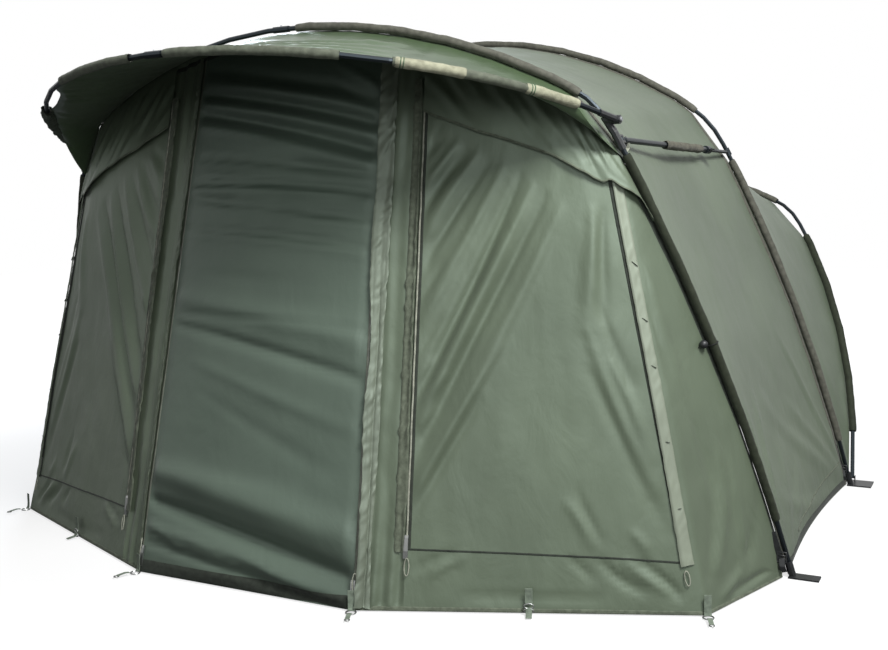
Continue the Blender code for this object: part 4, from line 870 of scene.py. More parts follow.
# %% Brow panel
HUB = FRONT.path.at(FRONT.shoulder_at - 0.085)
BROW_TILT = math.radians(15.0)
AHEAD = Vector((0, -math.cos(BROW_TILT), math.sin(BROW_TILT)))
BROW_HALF = HUB.x + 0.0205 + 0.0004 + 0.0215 / 2
brow_flat = arc_between(Vector((BROW_HALF, 0)), Vector((-BROW_HALF, 0)), 0.740, ROOF_STEPS + LEG_STEPS)
BROW = Path([Vector((p.x, HUB.y, HUB.z)) + AHEAD * p.y for p in brow_flat])
brow_start = BROW.where(out_of, 0.990)
over_front = seam_of(FRONT)
back_line = Path(over_front.points[24:-24])
BROW_ROWS, steps = 56, 150
front_line, rear_line = [], []
for step in range(steps + 1):
    share = 1 - step / steps
    mark = brow_start + (BROW.length - 2 * brow_start) * share
    rear = back_line.at(back_line.length * share)
    point, along = BROW.at(mark), BROW.way(mark)
    way = rear - point - UP * 0.06
    way = (way - along * way.dot(along)).normalized()
    slot = max(math.exp(-((point.x + 0.70) / 0.075) ** 4), 0.8 * math.exp(-((point.x + 1.00) / 0.030) ** 4))
    front_line.append(point + way * (0.0122 + 0.024 * slot))
    rear_line.append(rear)
brow_grid = np.zeros((BROW_ROWS + 1, steps + 1, 3))
for c in range(steps + 1):
    for r in range(BROW_ROWS + 1):
        share = r / BROW_ROWS
        point = front_line[c].lerp(rear_line[c], share)
        drop = 0.020 * 4 * share * (1 - share) * min(1.0, (front_line[c] - rear_line[c]).length / 0.4)
        brow_grid[r, c] = point - UP * drop
plan = flat_plan(brow_grid)
long_way = float(plan[0][-1].max())
depth = edge_creases(brow_grid, 29, 0.006, 0.20, 40)
for step in range(6):
    start = (long_way * (0.36 + 0.02 * step), 0.10 + 0.045 * step)
    depth += ridge(plan, start, (long_way * (0.74 - 0.01 * step), 0.05 + 0.080 * step), 0.016, 0.011)
depth += (slack_noise(brow_grid, 0.008, 101.0, (1, 0.6, 1), 3.4)
          + slack_noise(brow_grid, 0.002, 103.0, (1, 1, 1), 15.0))
# The brow takes the darker copy of the cloth, with the shade under it painted into the colour.
dress("brow_cloth", folded(brow_grid, depth, 0.03), BROW_SHADED_SKIN, "stretched", ["brow_cover"])
print("brow panel", brow_grid.shape)

# %% [markdown]
# ## What each panel covers
# A panel stands for the plain sheet of the imported model, which is hidden. The two that cross a
# joint are not bent: their place is baked into the mesh and they are not attached to a body. Every
# other panel is attached to its own body.

# %% Attach the panels


def declare_sheet(panel):
    # Measures its size laid flat, along the cloth with its folds, and keeps nothing: no sheet is declared.
    across, up = flat_plan(panel.grid)


HINGED = {"brow_cloth": ("brow", "frame_and_skin"), "rear_gore_cloth": ("frame_and_skin", "rear_arch")}
for name, panel in SHEETS.items():
    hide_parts(*panel.nodes)
    if name in HINGED:
        rows, columns = panel.grid.shape[:2]
        first, second = HINGED[name]
        middle = columns // 2
        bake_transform(panel.piece)
        share = np.repeat(np.linspace(0, 1, rows), columns)
    else:
        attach(panel.piece, panel.body)
    declare_sheet(panel)

# %% [markdown]
# ## Pole sleeves
# The poles run through cloth tubes. A tube is a little too wide for its pole, so it puckers round
# it. A bevelled curve would be smooth all over, so rings of points are laid along the pole and each
# point is pushed out or in by noise.

# %% Tubes of cloth
TUBE_END = 0.895  # the first and last ring's share of the radius


def frame_round(path, mark, reference):
    way = path.way(mark, 0.006)
    first = reference.cross(way).normalized()
    return first, way.cross(first)


def cloth_tube(name, path, start, end, radius, finish, reference, pucker=0.0012, step=0.010,
               sides=14, seed=0):
    count = max(6, int((end - start) / step))
    points, faces = [], []
    for ring in range(count + 1):
        mark = start + (end - start) * ring / count
        centre = path.at(mark)
        first, second = frame_round(path, mark, reference)
        swell = TUBE_END if ring in (0, count) else 1.0
        for side in range(sides):
            angle = 2 * math.pi * side / sides
            rough = noise.noise(Vector((mark * 42.0, math.cos(angle) * 1.3, math.sin(angle) * 1.3 + seed)))
            long = noise.noise(Vector((mark * 9.0 + seed, angle * 0.9, 3.1)))
            r = radius * swell + pucker * (rough + 0.7 * long)
            points.append(centre + first * (r * math.cos(angle)) + second * (r * math.sin(angle)))
    for ring in range(count):
        for side in range(sides):
            a, b = ring * sides + side, ring * sides + (side + 1) % sides
            faces.append((a, b, b + sides, a + sides))
    return new_piece(name, [tuple(p) for p in points], faces, finish)


def sleeve_piece(name, path, start, end, node, body, reference=BACK, seed=0,
                 finish=SLEEVE_CLOTH, radius=0.0132):
    made = cloth_tube(name, path, start, end, radius, finish, reference, 0.0014, seed=seed)
    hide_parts(node)
    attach(made, body)


sleeves = 0
for word, arch, body in (("front", FRONT, "frame_and_skin"), ("middle", MIDDLE, "frame_and_skin"),
                         ("rear", REAR, "rear_arch")):
    leg, bend, roof = BARE[arch]
    for side, path in (("right", arch.path), ("left", arch.path.mirrored())):
        name = "%s_leg_sleeve_%s" % (word, side)
        # the front and rear legs take the darker sleeve colour, which paints their shade
        sleeve_piece("cloth_" + name, path, leg, arch.shoulder_at - bend, name, body, seed=sleeves,
                     finish=SLEEVE_CLOTH if arch is MIDDLE else SHADED_LEG_SLEEVE,
                     radius=0.0152 if arch is REAR else 0.0135)
        sleeves += 1
    start = arch.shoulder_at + roof
    if arch is FRONT:
        marks = arch.path.where(out_of, 0.030), arch.path.where(out_of, 0.550)
        sleeve_piece("cloth_front_roof_sleeve_right", arch.path, start, marks[0],
                     "front_roof_sleeve_right", body)
        sleeve_piece("cloth_front_roof_sleeve_left", arch.path.mirrored(), start, marks[1],
                     "front_roof_sleeve_left", body, seed=5)
    else:
        name = word + "_roof_sleeve"
        sleeve_piece("cloth_" + name, arch.path, start, arch.path.length - start, name, body, seed=8)
brow_normal = OUT.cross(AHEAD).normalized()
brow_marks = [BROW.where(out_of, x) for x in (0.975, 0.620, 0.500, 0.008, 0.120)]
low_wrap = BROW.where(out_of, 0.800)
for side, path, top in (("right", BROW, brow_marks[3]), ("left", BROW.mirrored(), brow_marks[4])):
    low = brow_marks[1] if side == "right" else low_wrap
    for word, a, b in (("end", brow_marks[0], low), ("top", brow_marks[2], top)):
        name = "brow_%s_sleeve_%s" % (word, side)
        sleeve_piece("cloth_" + name, path, a, b, name, "brow", brow_normal, seed=12, finish=BROW_SLEEVE)
print("sleeves made")

# %% [markdown]
# Fleecy straps are wrapped round the brow pole and the tension bars. A strap could be wound as a
# spiral, but its turns lie so close that they read as one sleeve. So these are the same tube
# again, a little more rumpled and rougher, with two thin stripes on the brow's two neat wraps.

# %% Wraps
for number, (outer, inner) in enumerate(((0.985, 0.890), (0.772, 0.625))):
    start, end = BROW.where(out_of, outer), BROW.where(out_of, inner)
    wrap = cloth_tube("brow_wrap_%d" % number, BROW, start, end, 0.0148, WRAP_CLOTH, brow_normal,
                      0.0015, 0.006, 16, seed=number)
    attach(wrap, "brow")
    for line, back in enumerate((0.016, 0.024)):
        stripe = cloth_tube("brow_wrap_stripe_%d_%d" % (number, line), BROW, end - back,
                            end - back + 0.0035, 0.0160, STRIPE_CLOTH, brow_normal, 0.0015,
                            0.0008, 16, seed=number)
        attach(stripe, "brow")
# On the left the strap is bunched up in one thick roll.
start, end = BROW.where(out_of, 1.010), low_wrap
wrap = cloth_tube("brow_wrap_bunched", BROW.mirrored(), start, end, 0.0195, WEB_CLOTH, brow_normal,
                  0.0060, 0.005, 20, seed=6)
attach(wrap, "brow")
BAR_EYE = Vector(JOINTS["bar_swing_right"]["pos_m"])
BAR_WAY = -Vector(JOINTS["bar_slide_right"]["axis"])
for side, turn in (("right", Vector), ("left", mirrored)):
    bar = Path([turn(BAR_EYE), turn(BAR_EYE + BAR_WAY * 0.96)])
    wrap = cloth_tube("bar_strap_" + side, bar, 0.425, 0.845, 0.0145, BAR_FLEECE, UP, 0.0022, 0.006,
                      16, seed=3)
    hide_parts("bar_wrap_" + side)
    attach(wrap, "bar_" + side)
print("wraps made")

# %% [markdown]
# ## Flaps, zips and tapes
# Everything sewn on a panel follows its folds. A strip could be projected on the cloth, but it
# would thin out on steep folds. Here it is asked for by shares across and up the panel and gets a
# width in metres along the cloth; its edges are turned down and can be ruffled.

# %% Strips on a panel
SEWN = []


def surface_step(panel, across, up, offset):
    # The shares that lie a short way off along the cloth.
    small = 0.004
    here = panel.at(across, up)[0]
    by_across = (panel.at(across + small, up)[0] - panel.at(across - small, up)[0]) / (2 * small)
    by_up = (panel.at(across, up + small)[0] - panel.at(across, up - small)[0]) / (2 * small)
    a, b, c = by_across.dot(by_across), by_across.dot(by_up), by_up.dot(by_up)
    p, q = by_across.dot(offset), by_up.dot(offset)
    det = a * c - b * b
    if det < 1e-9:
        return across, up
    return across + (p * c - q * b) / det, up + (q * a - p * b) / det


def strip(name, panel, line, width, finish, lift=0.0012, ruffle=0.0, step=0.012, cross=6, edge=0.0,
          seed=0.0):
    # line lists shares (across, up); edge lifts one side.
    keys = [Vector((a, u, 0)) for a, u in line]
    real = Path([panel.at(k.x, k.y)[0] for k in keys])
    count = max(4, int(real.length / step))
    rows = []
    for i in range(count + 1):
        mark = real.length * i / count
        k = min(int(np.searchsorted(real.marks, mark, side="right")) - 1, len(keys) - 2)
        k = max(k, 0)
        t = (mark - real.marks[k]) / max(real.marks[k + 1] - real.marks[k], 1e-9)
        here = keys[k].lerp(keys[k + 1], t)
        ahead = keys[k + 1] - keys[k]
        point, normal = panel.at(here.x, here.y)
        near = here + ahead * 0.01
        way = panel.at(near.x, near.y)[0] - point
        if way.length < 1e-9:
            way = real.way(mark)
        way = (way - normal * way.dot(normal)).normalized()
        beside = way.cross(normal)
        row = []
        for j in range(cross + 1):
            share = j / cross
            off = (share - 0.5) * width
            spot = Vector((mark * 30.0 - share * width * 36.0 + seed, share * 1.2, seed))
            wave = ruffle * noise.noise(spot)
            a, u = surface_step(panel, here.x, here.y, beside * (off + wave * 0.5))
            far = share if edge > 0 else 1 - share
            rise = lift * (0.15 if j in (0, cross) else 1.0) + abs(wave)
            rise += abs(edge) * max(0.0, far - 0.3) ** 1.5
            row.append(list(panel.at(a, u, rise)[0]))
        rows.append(row)
    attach(grid_mesh(name, np.array(rows), finish), panel.body)
    SEWN.append(name)


def across_of(side, share):
    # A share counted from the door outwards, on the right or the left of the tent.
    return share if side == "right" else 1 - share


def upright(side, share, low=0.0, high=1.0, steps=10):
    return [(across_of(side, share), low + (high - low) * i / steps) for i in range(steps + 1)]


for side in ("right", "left"):
    wall, pillar = SHEETS["side_wall_" + side], SHEETS["pillar_cloth_" + side]
    # Door zip: a dark coil in the gap and a pale flap along the pillar's inner edge. On the left the flap is
    # narrower and darker: its colour paints the shade on that side.
    strip("door_coil_" + side, pillar, upright(side, 0.035, 0.01, 0.985, 16), 0.010, ZIP_COIL, 0.0024)
    if side == "right":
        flap_share, flap_width, flap_finish, flap_edge = 0.20, 0.052, DOOR_FLAP, -0.024
    else:
        flap_share, flap_width, flap_finish, flap_edge = 0.12, 0.022, SHADED_FLAP, 0.012
    strip("door_flap_" + side, pillar, upright(side, flap_share, 0.004, 0.99, 24), flap_width, flap_finish,
          0.0045, 0.0075, step=0.006, cross=12, seed=3.0, edge=flap_edge)
    # Inner window zip: coil, pale piping and a narrow ruffled flap that stands up from the pillar.
    strip("window_coil_inner_" + side, wall, upright(side, 0.008, 0.105, 0.90, 14), 0.010, DARK_TAPE, 0.0028)
    strip("window_flap_inner_" + side, pillar, upright(side, 0.88, 0.10, 0.93, 24), 0.034, TAPE_CLOTH, 0.0055,
          0.0080, step=0.006, cross=8, seed=11.0, edge=0.016)
    strip("window_piping_" + side, wall, upright(side, 0.002, 0.105, 0.93, 14), 0.0040, PALE_WEB, 0.0060)
    # Outer window zip: coil and a pale storm flap outside it. On the left the flap takes the darker copy,
    # with the shade on that side painted in.
    strip("window_coil_outer_" + side, wall, upright(side, WINDOW_SHARE, 0.10, 0.895, 14), 0.014,
          DARK_TAPE, 0.0026)
    strip("storm_flap_" + side, wall, upright(side, WINDOW_SHARE + 0.018, 0.104, 0.925, 20), 0.034,
          FLAP_CLOTH if side == "right" else SHADED_FLAP,
          0.0060, 0.0026, step=0.008, cross=8, seed=7.0, edge=-0.010 if side == "right" else 0.010)
    for number, height in enumerate((0.22, 0.36, 0.52, 0.62, 0.74)):
        start = across_of(side, WINDOW_SHARE + 0.016)
        end = start + (0.014 if side == "right" else -0.014)
        strip("flap_tack_%s_%d" % (side, number), wall, [(start, height), (end, height + 0.006)], 0.0030,
              DARK_TAPE, 0.0110, step=0.004, cross=2)
    # Bottom seam of the window, the hem and a band inside it.
    sill = [(across_of(side, WINDOW_SHARE * i / 20), 0.105) for i in range(21)]
    strip("window_sill_" + side, wall, sill, 0.006, DARK_TAPE, 0.0016)
    strip("wall_hem_" + side, wall, [(i / 60, 0.004) for i in range(61)], 0.013, TAPE_CLOTH, 0.0018, 0.0006)
    strip("pillar_hem_" + side, pillar, [(i / 10, 0.004) for i in range(11)], 0.013, TAPE_CLOTH, 0.0018)
    strip("wall_seam_top_" + side, wall, [(i / 60, 0.988) for i in range(61)], 0.016, DARK_TAPE, 0.0016)
    strip("pillar_seam_top_" + side, pillar, [(i / 10, 0.988) for i in range(11)], 0.016, DARK_TAPE, 0.0016)
door_panel = SHEETS["door_cloth"]
strip("door_hem", door_panel, [(i / 40, 0.012) for i in range(41)], 0.042, DARK_TAPE, 0.0030, 0.0016)
strip("door_seam_top", door_panel, [(i / 20, 0.988) for i in range(21)], 0.016, DARK_TAPE, 0.0016)
print("sewn strips", len(SEWN))

# %% [markdown]
# A valance hangs over the top of each window. It is sewn in under the arch, and its lower edge is
# bound and swings free. It could be copied from the wall, but then it would take the wall's folds.
# So it is built off the wall without folds, and every point of its grid is kept at least 3 mm in
# front of the folded wall.

# %% Valances


VALANCE_END = 0.79


def valance_low(share):
    # The lower edge's share of the wall's height: nearly level over the window, then up to the arch.
    return float(np.interp(share, (0.0, 0.04, 0.20, 0.45, 0.55, 0.61, 0.66, 0.72, 0.75, VALANCE_END),
                           (0.872, 0.865, 0.856, 0.856, 0.848, 0.855, 0.867, 0.903, 0.935, 0.986)))


def valance(side):
    wall = SHEETS["side_wall_" + side]
    smooth = wall_grid if side == "right" else mirror_grid(wall_grid)
    base = Sheet("plain_wall", smooth, SKIN, "hung", [])
    bpy.data.objects.remove(base.piece, do_unlink=True)
    rows, columns = 20, 84
    seed = 4.0 if side == "right" else 8.0
    grid = np.zeros((rows + 1, columns + 1, 3))
    for c in range(columns + 1):
        share = VALANCE_END * c / columns
        low = valance_low(share)
        for r in range(rows + 1):
            up = low + (0.992 - low) * r / rows
            free = 1 - r / rows
            slant = noise.noise(Vector((share * 20.0 + up * 34.0, up * 6.0 - share * 4.0, seed)))
            broad = noise.noise(Vector((share * 6.0 + up * 9.0, up * 4.0, seed + 3)))
            waves = (0.0100 * slant + 0.0050 * broad) * math.sin(math.pi * min(free, 0.85))
            lift = 0.0045 + free * 0.0105 + waves
            place, normal = base.at(across_of(side, share), up)
            proud = (wall.at(across_of(side, share), up)[0] - place).dot(normal)
            grid[r, c if side == "right" else columns - c] = place + normal * max(lift, proud + 0.0030)
    name = "valance_" + side
    panel = Sheet(name, grid, SKIN, "hung", [])
    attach(panel.piece, "frame_and_skin")
    strip("valance_edge_" + side, panel, [(i / 40, 0.02) for i in range(41)], 0.007, TAPE_CLOTH, 0.0022)
    declare_sheet(panel)
    return panel


valances = [valance(side) for side in ("right", "left")]
print("valances", len(valances))

# %% [markdown]
# ## Seams on the roof panels
# The canopy and the back have hems at the ground and tapes along their arches. A gusset seam runs
# close above each canopy hem, and three seams run up the back. They could be painted on, but as
# strips like the others they catch the light.

# %% Roof seams
panel = SHEETS["canopy_cloth"]
for word, share, near, far in (("left", 0.003, 0.010, 0.020), ("right", 0.997, 0.990, 0.980)):
    strip("canopy_hem_" + word, panel, [(share, i / 30) for i in range(31)], 0.022, DARK_TAPE, 0.0018)
    gusset = [(near + (far - near) * i / 20, 0.26 + 0.70 * i / 20) for i in range(21)]
    strip("gusset_seam_" + word, panel, gusset, 0.007, TAPE_CLOTH, 0.0018)
for word, row in (("front", 0.020), ("back", 0.980)):
    tape = [(i / 160, row) for i in range(161)]
    strip("canopy_tape_" + word, panel, tape, 0.026, SLEEVE_CLOTH, 0.0020)
panel = SHEETS["rear_wall_cloth"]
strip("rear_hem", panel, [(i / 120, 0.006) for i in range(121)], 0.022, DARK_TAPE, 0.0018)
strip("rear_tape", panel, [(i / 120, 0.984) for i in range(121)], 0.026, SLEEVE_CLOTH, 0.0020)
for number, share in enumerate((0.25, 0.5, 0.75)):
    strip("rear_seam_%d" % number, panel, [(share, i / 30) for i in range(31)], 0.008, TAPE_CLOTH, 0.0014)
print("roof seams done")

# %% [markdown]
# ## Pegging points
# At each peg a webbing tab runs down the cloth to a ring, and beyond the ring lies a short tail
# with a wire eye. Webbing keeps its width and thickness, so it is swept as a flat bar through a few
# points and not simulated.

# %% Webbing


def ribbon(name, points, width, across_way, finish, thick=0.0016, body="frame_and_skin"):
    # A flat strap through points; across_way is its width direction.
    path = Path(points)
    count = max(6, int(path.length / 0.004))
    rings = []
    for i in range(count + 1):
        here = path.at(path.length * i / count)
        way = path.way(path.length * i / count, 0.003)
        across = (across_way - way * across_way.dot(way)).normalized()
        out = across.cross(way)
        ring = []
        for x, y in ((-0.5, -0.5), (0.5, -0.5), (0.5, 0.5), (-0.5, 0.5)):
            ring.append(here + across * (x * width) + out * (y * thick))
        rings.append(ring)
    faces = []
    for i in range(count):
        for j in range(4):
            a, b = i * 4 + j, i * 4 + (j + 1) % 4
            faces.append((a, b, b + 4, a + 4))
    faces.append((3, 2, 1, 0))
    faces.append(tuple(count * 4 + j for j in range(4)))
    piece = new_piece(name, [tuple(p) for ring in rings for p in ring], faces, finish, smooth=False)
    soft = piece.modifiers.new("edges", "BEVEL")
    soft.width = thick * 0.3
    soft.segments = 1
    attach(piece, body)


def loop_points(start, down, out, length, swell):
    # Out and back in a narrow loop that lies along down.
    points = []
    for i in range(17):
        angle = 2 * math.pi * i / 16
        points.append(start + down * (length * (1 - math.cos(angle)) / 2) + out * (swell * math.sin(angle)))
    return points


def wire_loop(name, points, radius, finish, body="frame_and_skin", sides=8):
    closed = (Vector(points[0]) - Vector(points[-1])).length < 1e-6
    path = [Vector(p) for p in points[:-1]] if closed else [Vector(p) for p in points]
    centre = sum(path, Vector()) / len(path)
    rings = []
    count = len(path)
    for i, p in enumerate(path):
        before = path[i - 1] if closed or i else p
        after = path[(i + 1) % count] if closed or i < count - 1 else p
        way = (after - before).normalized()
        first = (p - centre)
        first = (first - way * first.dot(way)).normalized()
        second = way.cross(first)
        rings.append([p + first * (radius * math.cos(2 * math.pi * j / sides))
                      + second * (radius * math.sin(2 * math.pi * j / sides)) for j in range(sides)])
    faces = []
    for i in range(count if closed else count - 1):
        for j in range(sides):
            a, b = i * sides + j, i * sides + (j + 1) % sides
            c, d = ((i + 1) % count) * sides + (j + 1) % sides, ((i + 1) % count) * sides + j
            faces.append((a, b, c, d))
    if not closed:
        faces.append(tuple(reversed(range(sides))))
        faces.append(tuple((count - 1) * sides + j for j in range(sides)))
    piece = new_piece(name, [tuple(p) for ring in rings for p in ring], faces, finish)
    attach(piece, body)


RING_CENTRES = {"door": DOOR_CORNER, "corner": FRONT_CORNER}
for side, flip in (("right", Vector), ("left", mirrored)):
    along = flip(WALL_WAY)
    out = Vector((along.y, -along.x, 0)) if side == "right" else Vector((-along.y, along.x, 0))
    for word, corner in RING_CENTRES.items():
        base = flip(corner) + out * 0.004
        # Tab sewn on the cloth, down to the ring.
        top = base + UP * 0.062 + out * 0.001
        tab = [top, base + UP * 0.024 + out * 0.0015, base + UP * 0.010 + out * 0.003,
               base + UP * 0.003 + out * 0.008]
        ribbon("peg_tab_%s_%s" % (word, side), tab, 0.021, along, TAB_WEB)
        start = base + out * 0.0335 + UP * 0.0035
        tail = [start + UP * 0.003, start + out * 0.014 + UP * 0.005, start + out * 0.042 + UP * 0.0016]
        ribbon("peg_loop_%s_%s" % (word, side), tail, 0.014, along, TAB_WEB)
        eye = loop_points(start + out * 0.036, out, along, 0.016, 0.007)
        wire_loop("peg_eye_%s_%s" % (word, side), eye, 0.0018, RING_METAL)
    # Peg point half way along the wall: tab, two rings and a tail.
    middle = flip(DOOR_CORNER.lerp(FRONT_CORNER, 0.505)) + out * 0.006
    tab = [middle + UP * 0.075, middle + UP * 0.045, middle + UP * 0.026 + out * 0.002]
    ribbon("mid_tab_" + side, tab, 0.022, along, TAB_WEB)
    for number, height in enumerate((0.024, 0.010)):
        spot = middle + UP * height + out * 0.004
        ring = []
        for i in range(16):
            angle = 2 * math.pi * i / 16
            ring.append(spot + along * (0.014 * math.cos(angle)) + UP * (0.007 * math.sin(angle)))
        wire_loop("mid_ring_%s_%d" % (side, number), ring + [ring[0]], 0.0020, RING_METAL)
    tail = [middle + out * 0.004 + UP * 0.020, middle + out * 0.010 + UP * 0.006,
            middle + out * 0.040 + UP * 0.0015]
    ribbon("mid_loop_" + side, tail, 0.018, along, TAB_WEB)
print("peg points done")

# %% [markdown]
# Each foot of the front and middle arches has a short black strap with a ladder buckle, and the
# strap's tail hangs free. The buckle could be cut from a plate, but it is only about 3 cm wide, so
# a bent wire frame with two cross bars is enough.

# %% Foot straps


def moulded_frame(name, centre, half_across, half_up, across, up, bar=0.0024, body="frame_and_skin"):
    # A ladder buckle: a rounded frame with two cross bars.
    corner = [(-1, -1), (1, -1), (1, 1), (-1, 1), (-1, -1)]
    points = [centre + across * (x * half_across) + up * (y * half_up) for x, y in corner]
    path = Path(points)
    ring = [path.at(path.length * i / 32) for i in range(33)]
    wire_loop(name, ring, bar, BLACK_NYLON, body)
    for number, y in enumerate((-0.3, 0.35)):
        a = centre - across * half_across + up * (y * half_up)
        b = centre + across * half_across + up * (y * half_up)
        middle = a.lerp(b, 0.5) + Vector((0, 0, 0.0001))
        wire_loop("%s_bar_%d" % (name, number), [a, middle, b], bar * 0.9, BLACK_NYLON, body)


for side, flip in (("right", Vector), ("left", mirrored)):
    for word, arch, high in (("front", FRONT, 0.150), ("rear", MIDDLE, 0.170)):
        path = arch.path
        outward = flip(OUT)
        top = flip(path.at(path.where(height_of, high))) - outward * 0.020
        low = flip(path.at(path.where(height_of, 0.070))) - outward * 0.010 - BACK * 0.013
        low.z = 0.060
        face = -BACK * 0.012
        strap = [top + face, top.lerp(low, 0.5) + face * 1.15, low + face, low + face - UP * 0.030]
        ribbon("foot_strap_%s_%s" % (word, side), strap, 0.019, outward, BLACK_NYLON)
        centre = low + face * 1.2 + UP * 0.012
        moulded_frame("foot_buckle_%s_%s" % (word, side), centre, 0.013, 0.016, outward, UP)
        tail = [centre - BACK * 0.003 - UP * 0.004, centre - BACK * 0.010 - UP * 0.026 + outward * 0.004,
                centre - BACK * 0.006 - UP * 0.044 + outward * 0.010]
        ribbon("foot_tail_%s_%s" % (word, side), tail, 0.017, outward, BLACK_NYLON)
print("foot straps done")

# %% [markdown]
# Zip pulls carry small cord loops. On each leg of the front arch sits a ball toggle, with a cord
# round the pole and a hanging loop, and a short strap and a hook hang by each tension bar's front
# end. The loops could be simulated, but at this size a closed wire shows the same.

# %% Pulls and toggle
PULLS = (("door", "pillar_cloth_", 0.035, 0.062), ("inner", "side_wall_", 0.004, 0.090),
         ("outer", "side_wall_", WINDOW_SHARE, 0.090))
for side in ("right", "left"):
    for word, sheet_name, share, height in PULLS:
        panel = SHEETS[sheet_name + side]
        low, normal = panel.at(across_of(side, share), max(height - 0.030, 0.004), 0.008)
        high = panel.at(across_of(side, share), height, 0.007)[0]
        way = (low - high).normalized()
        beside = way.cross(normal)
        loop = loop_points(high, way, beside, (low - high).length, 0.007)
        wire_loop("pull_cord_%s_%s" % (word, side), loop, 0.0017, PALE_WEB)
for side, flip in (("right", Vector), ("left", mirrored)):
    mark = FRONT.path.where(height_of, 0.745)
    point = flip(FRONT.path.at(mark))
    way = flip(FRONT.path.way(mark))
    centre = point - BACK * 0.030 + flip(-OUT) * 0.020
    ball = bmesh.new()
    bmesh.ops.create_icosphere(ball, subdivisions=3, radius=0.0130)
    for v in ball.verts:
        v.co += centre
    mesh = bpy.data.meshes.new("toggle_ball_" + side)
    ball.to_mesh(mesh)
    ball.free()
    mesh.shade_smooth()
    mesh.materials.append(BLACK_NYLON)
    toggle = bpy.data.objects.new("toggle_ball_" + side, mesh)
    bpy.context.scene.collection.objects.link(toggle)
    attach(toggle, "frame_and_skin")
    round_pole = []
    for i in range(25):
        angle = 2 * math.pi * i / 24
        first = BACK.cross(way).normalized()
        second = way.cross(first)
        round_pole.append(point + first * (0.0158 * math.cos(angle)) + second * (0.0158 * math.sin(angle)))
    wire_loop("toggle_cord_" + side, round_pole, 0.0016, BLACK_CORD)
    hang = loop_points(centre + UP * 0.004, flip(-OUT) * 0.6 - UP * 0.6, BACK, 0.036, 0.006)
    wire_loop("toggle_loop_" + side, hang, 0.0016, BLACK_CORD)
    eye = flip(BAR_EYE)
    tab = [eye + BACK * 0.050 - UP * 0.008, eye + BACK * 0.052 - UP * 0.024, eye + BACK * 0.030 - UP * 0.034]
    ribbon("bar_tab_" + side, tab, 0.020, flip(OUT), PALE_WEB)
    hook = [eye + BACK * 0.040 + UP * 0.010, eye + BACK * 0.048 - UP * 0.002, eye + BACK * 0.046 - UP * 0.014,
            eye + BACK * 0.036 - UP * 0.018, eye + BACK * 0.028 - UP * 0.012]
    wire_loop("bar_hook_" + side, hook, 0.0032, BLACK_NYLON)
print("pulls and toggles done")

# %% [markdown]
# ## Finishes on the hard parts
# The poles, feet, rings and bars are already there, with their true edges. They could be modelled
# again, but they only need their finish, which a word in each name chooses.

# %% Hardware finishes
KINDS = {"button": BOLT_METAL, "bolt": BOLT_METAL, "slider": RING_METAL, "ring": RING_METAL,
         "foot": BLACK_NYLON, "block": BLACK_NYLON, "knuckle": BLACK_NYLON, "screw": BLACK_NYLON,
         "bar_inner": POLE_METAL, "bar_outer": POLE_METAL, "pole": POLE_METAL, "rib": POLE_METAL}
HAS_ITS_OWN = ("cloth_", "brow_wrap", "bar_strap")
for node in bpy.data.objects:
    if node.type != "MESH" or node.name in SHEETS or node.name.startswith(HAS_ITS_OWN):
        continue
    for word, finish in KINDS.items():
        if word in node.name:
            node.data.materials.clear()
            node.data.materials.append(finish)
            break
print("hardware finishes on")

# %% [markdown]
# ## Light and ground
# A big soft light stands on the right and a smaller one behind the tent's left shoulder; a weak
# one fills the front. The lens and every reflection see a plain white backdrop, and the tent
# stands on a floor that takes its shadow. Stronger lamps could whiten the ground, but they would
# bleach the cloth. So only the lens sees the floor pale and glowing; for every other ray it is dull.

# %% Stage


def soft_light(name, place, aim, size, power, tint=(1, 1, 1)):
    data = bpy.data.lights.new(name, "AREA")
    data.shape = "RECTANGLE"
    data.size, data.size_y = size
    data.energy = power
    data.color = tint
    lamp = bpy.data.objects.new(name, data)
    lamp.location = place
    lamp.rotation_euler = (Vector(aim) - Vector(place)).to_track_quat("-Z", "Y").to_euler()
    bpy.context.scene.collection.objects.link(lamp)
    return lamp


lamps = [
    soft_light("key_right", (3.9, -3.0, 5.0), (1.1, -0.3, 1.1), (1.8, 1.8), 480),
    soft_light("fill_front", (3.7, -6.2, 2.6), (0.5, -1.2, 0.8), (2.6, 1.8), 100, (0.96, 0.98, 1.0)),
    soft_light("rim_back", (-3.8, 4.2, 3.6), (-0.2, -0.8, 1.5), (2.4, 1.4), 240, (0.80, 0.89, 1.0)),
]
FLOOR_REACH, FLOOR_TOP = 14, -0.001
DULL_FLOOR, PALE_FLOOR = (0.10, 0.10, 0.10), (0.80, 0.80, 0.80)
floor_finish, nodes, links, shader = new_finish("ground", DULL_FLOOR, 0.9)
floor_corners = [(x * FLOOR_REACH, y * FLOOR_REACH, FLOOR_TOP)
                 for x, y in ((-1, -1), (1, -1), (1, 1), (-1, 1))]
floor = new_piece("floor", floor_corners, [(0, 1, 2, 3)], floor_finish, smooth=False)
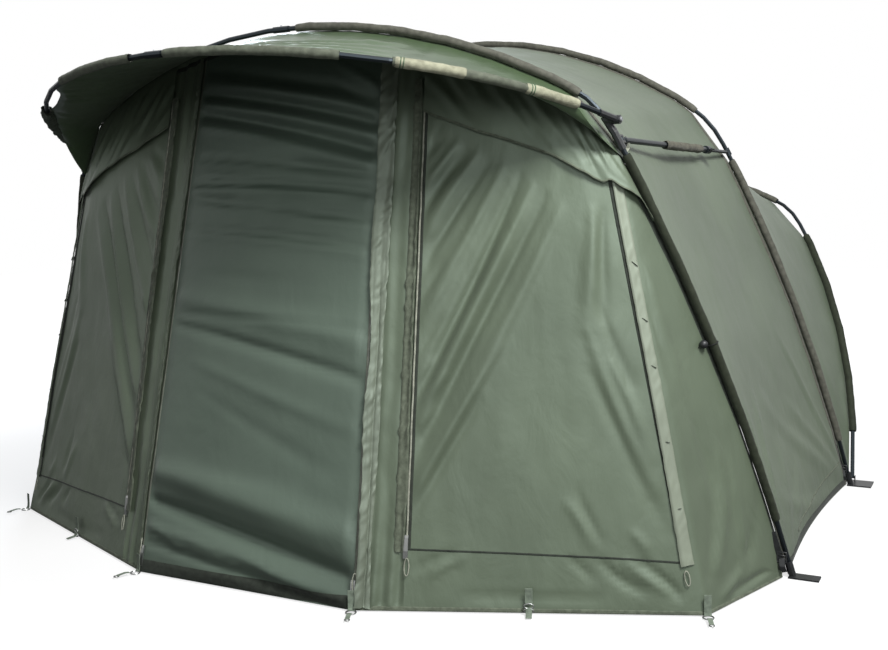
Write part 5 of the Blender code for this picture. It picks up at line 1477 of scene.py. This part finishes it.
# The lens sees a pale floor that takes the tent's shadow; the tent sees a dull one.
seen_by_lens = nodes.new("ShaderNodeLightPath")
tone = nodes.new("ShaderNodeMix")
tone.data_type = "RGBA"
tone.inputs["A"].default_value = (*DULL_FLOOR, 1)
tone.inputs["B"].default_value = (*PALE_FLOOR, 1)
links.new(seen_by_lens.outputs["Is Camera Ray"], tone.inputs["Factor"])
links.new(tone.outputs["Result"], shader.inputs["Base Color"])
glow = nodes.new("ShaderNodeEmission")
glow.inputs["Color"].default_value = (1, 1, 1, 1)
place = nodes.new("ShaderNodeTexCoord")
far_out = nodes.new("ShaderNodeVectorMath")
far_out.operation = "LENGTH"
links.new(place.outputs["Object"], far_out.inputs[0])
brighter = nodes.new("ShaderNodeMapRange")
for key, value in (("From Min", 1.8), ("From Max", 5.0), ("To Min", 1.2), ("To Max", 1.7)):
    brighter.inputs[key].default_value = value
links.new(far_out.outputs["Value"], brighter.inputs["Value"])
links.new(brighter.outputs["Result"], glow.inputs["Strength"])
amount = nodes.new("ShaderNodeMath")
amount.operation = "MULTIPLY"
amount.inputs[1].default_value = 0.60
links.new(seen_by_lens.outputs["Is Camera Ray"], amount.inputs[0])
pale = nodes.new("ShaderNodeMixShader")
links.new(amount.outputs[0], pale.inputs["Fac"])
links.new(shader.outputs["BSDF"], pale.inputs[1])
links.new(glow.outputs["Emission"], pale.inputs[2])
links.new(pale.outputs["Shader"], nodes["Material Output"].inputs["Surface"])

world = bpy.data.worlds.new("studio")
bpy.context.scene.world = world
world.use_nodes = True
tree = world.node_tree
for node in list(tree.nodes):
    tree.nodes.remove(node)
output = tree.nodes.new("ShaderNodeOutputWorld")
plain = tree.nodes.new("ShaderNodeBackground")
plain.inputs["Color"].default_value = (0.93, 0.96, 1.0, 1)
plain.inputs["Strength"].default_value = 0.07
white = tree.nodes.new("ShaderNodeBackground")
white.inputs["Strength"].default_value = 1.0
white.inputs["Color"].default_value = (1, 1, 1, 1)
ray = tree.nodes.new("ShaderNodeLightPath")
shade = plain.outputs[0]
for kind in ("Is Glossy Ray", "Is Transmission Ray", "Is Camera Ray"):
    mix = tree.nodes.new("ShaderNodeMixShader")
    tree.links.new(ray.outputs[kind], mix.inputs["Fac"])
    tree.links.new(shade, mix.inputs[1])
    tree.links.new(white.outputs[0], mix.inputs[2])
    shade = mix.outputs["Shader"]
tree.links.new(shade, output.inputs["Surface"])
bpy.context.scene.view_settings.view_transform = "Standard"
print("stage ready")

# %% [markdown]
# ## The last update
# The tent's size could be read off the screen; this cell only brings the view layer up to date.

# %% Finish
bpy.context.view_layer.update()
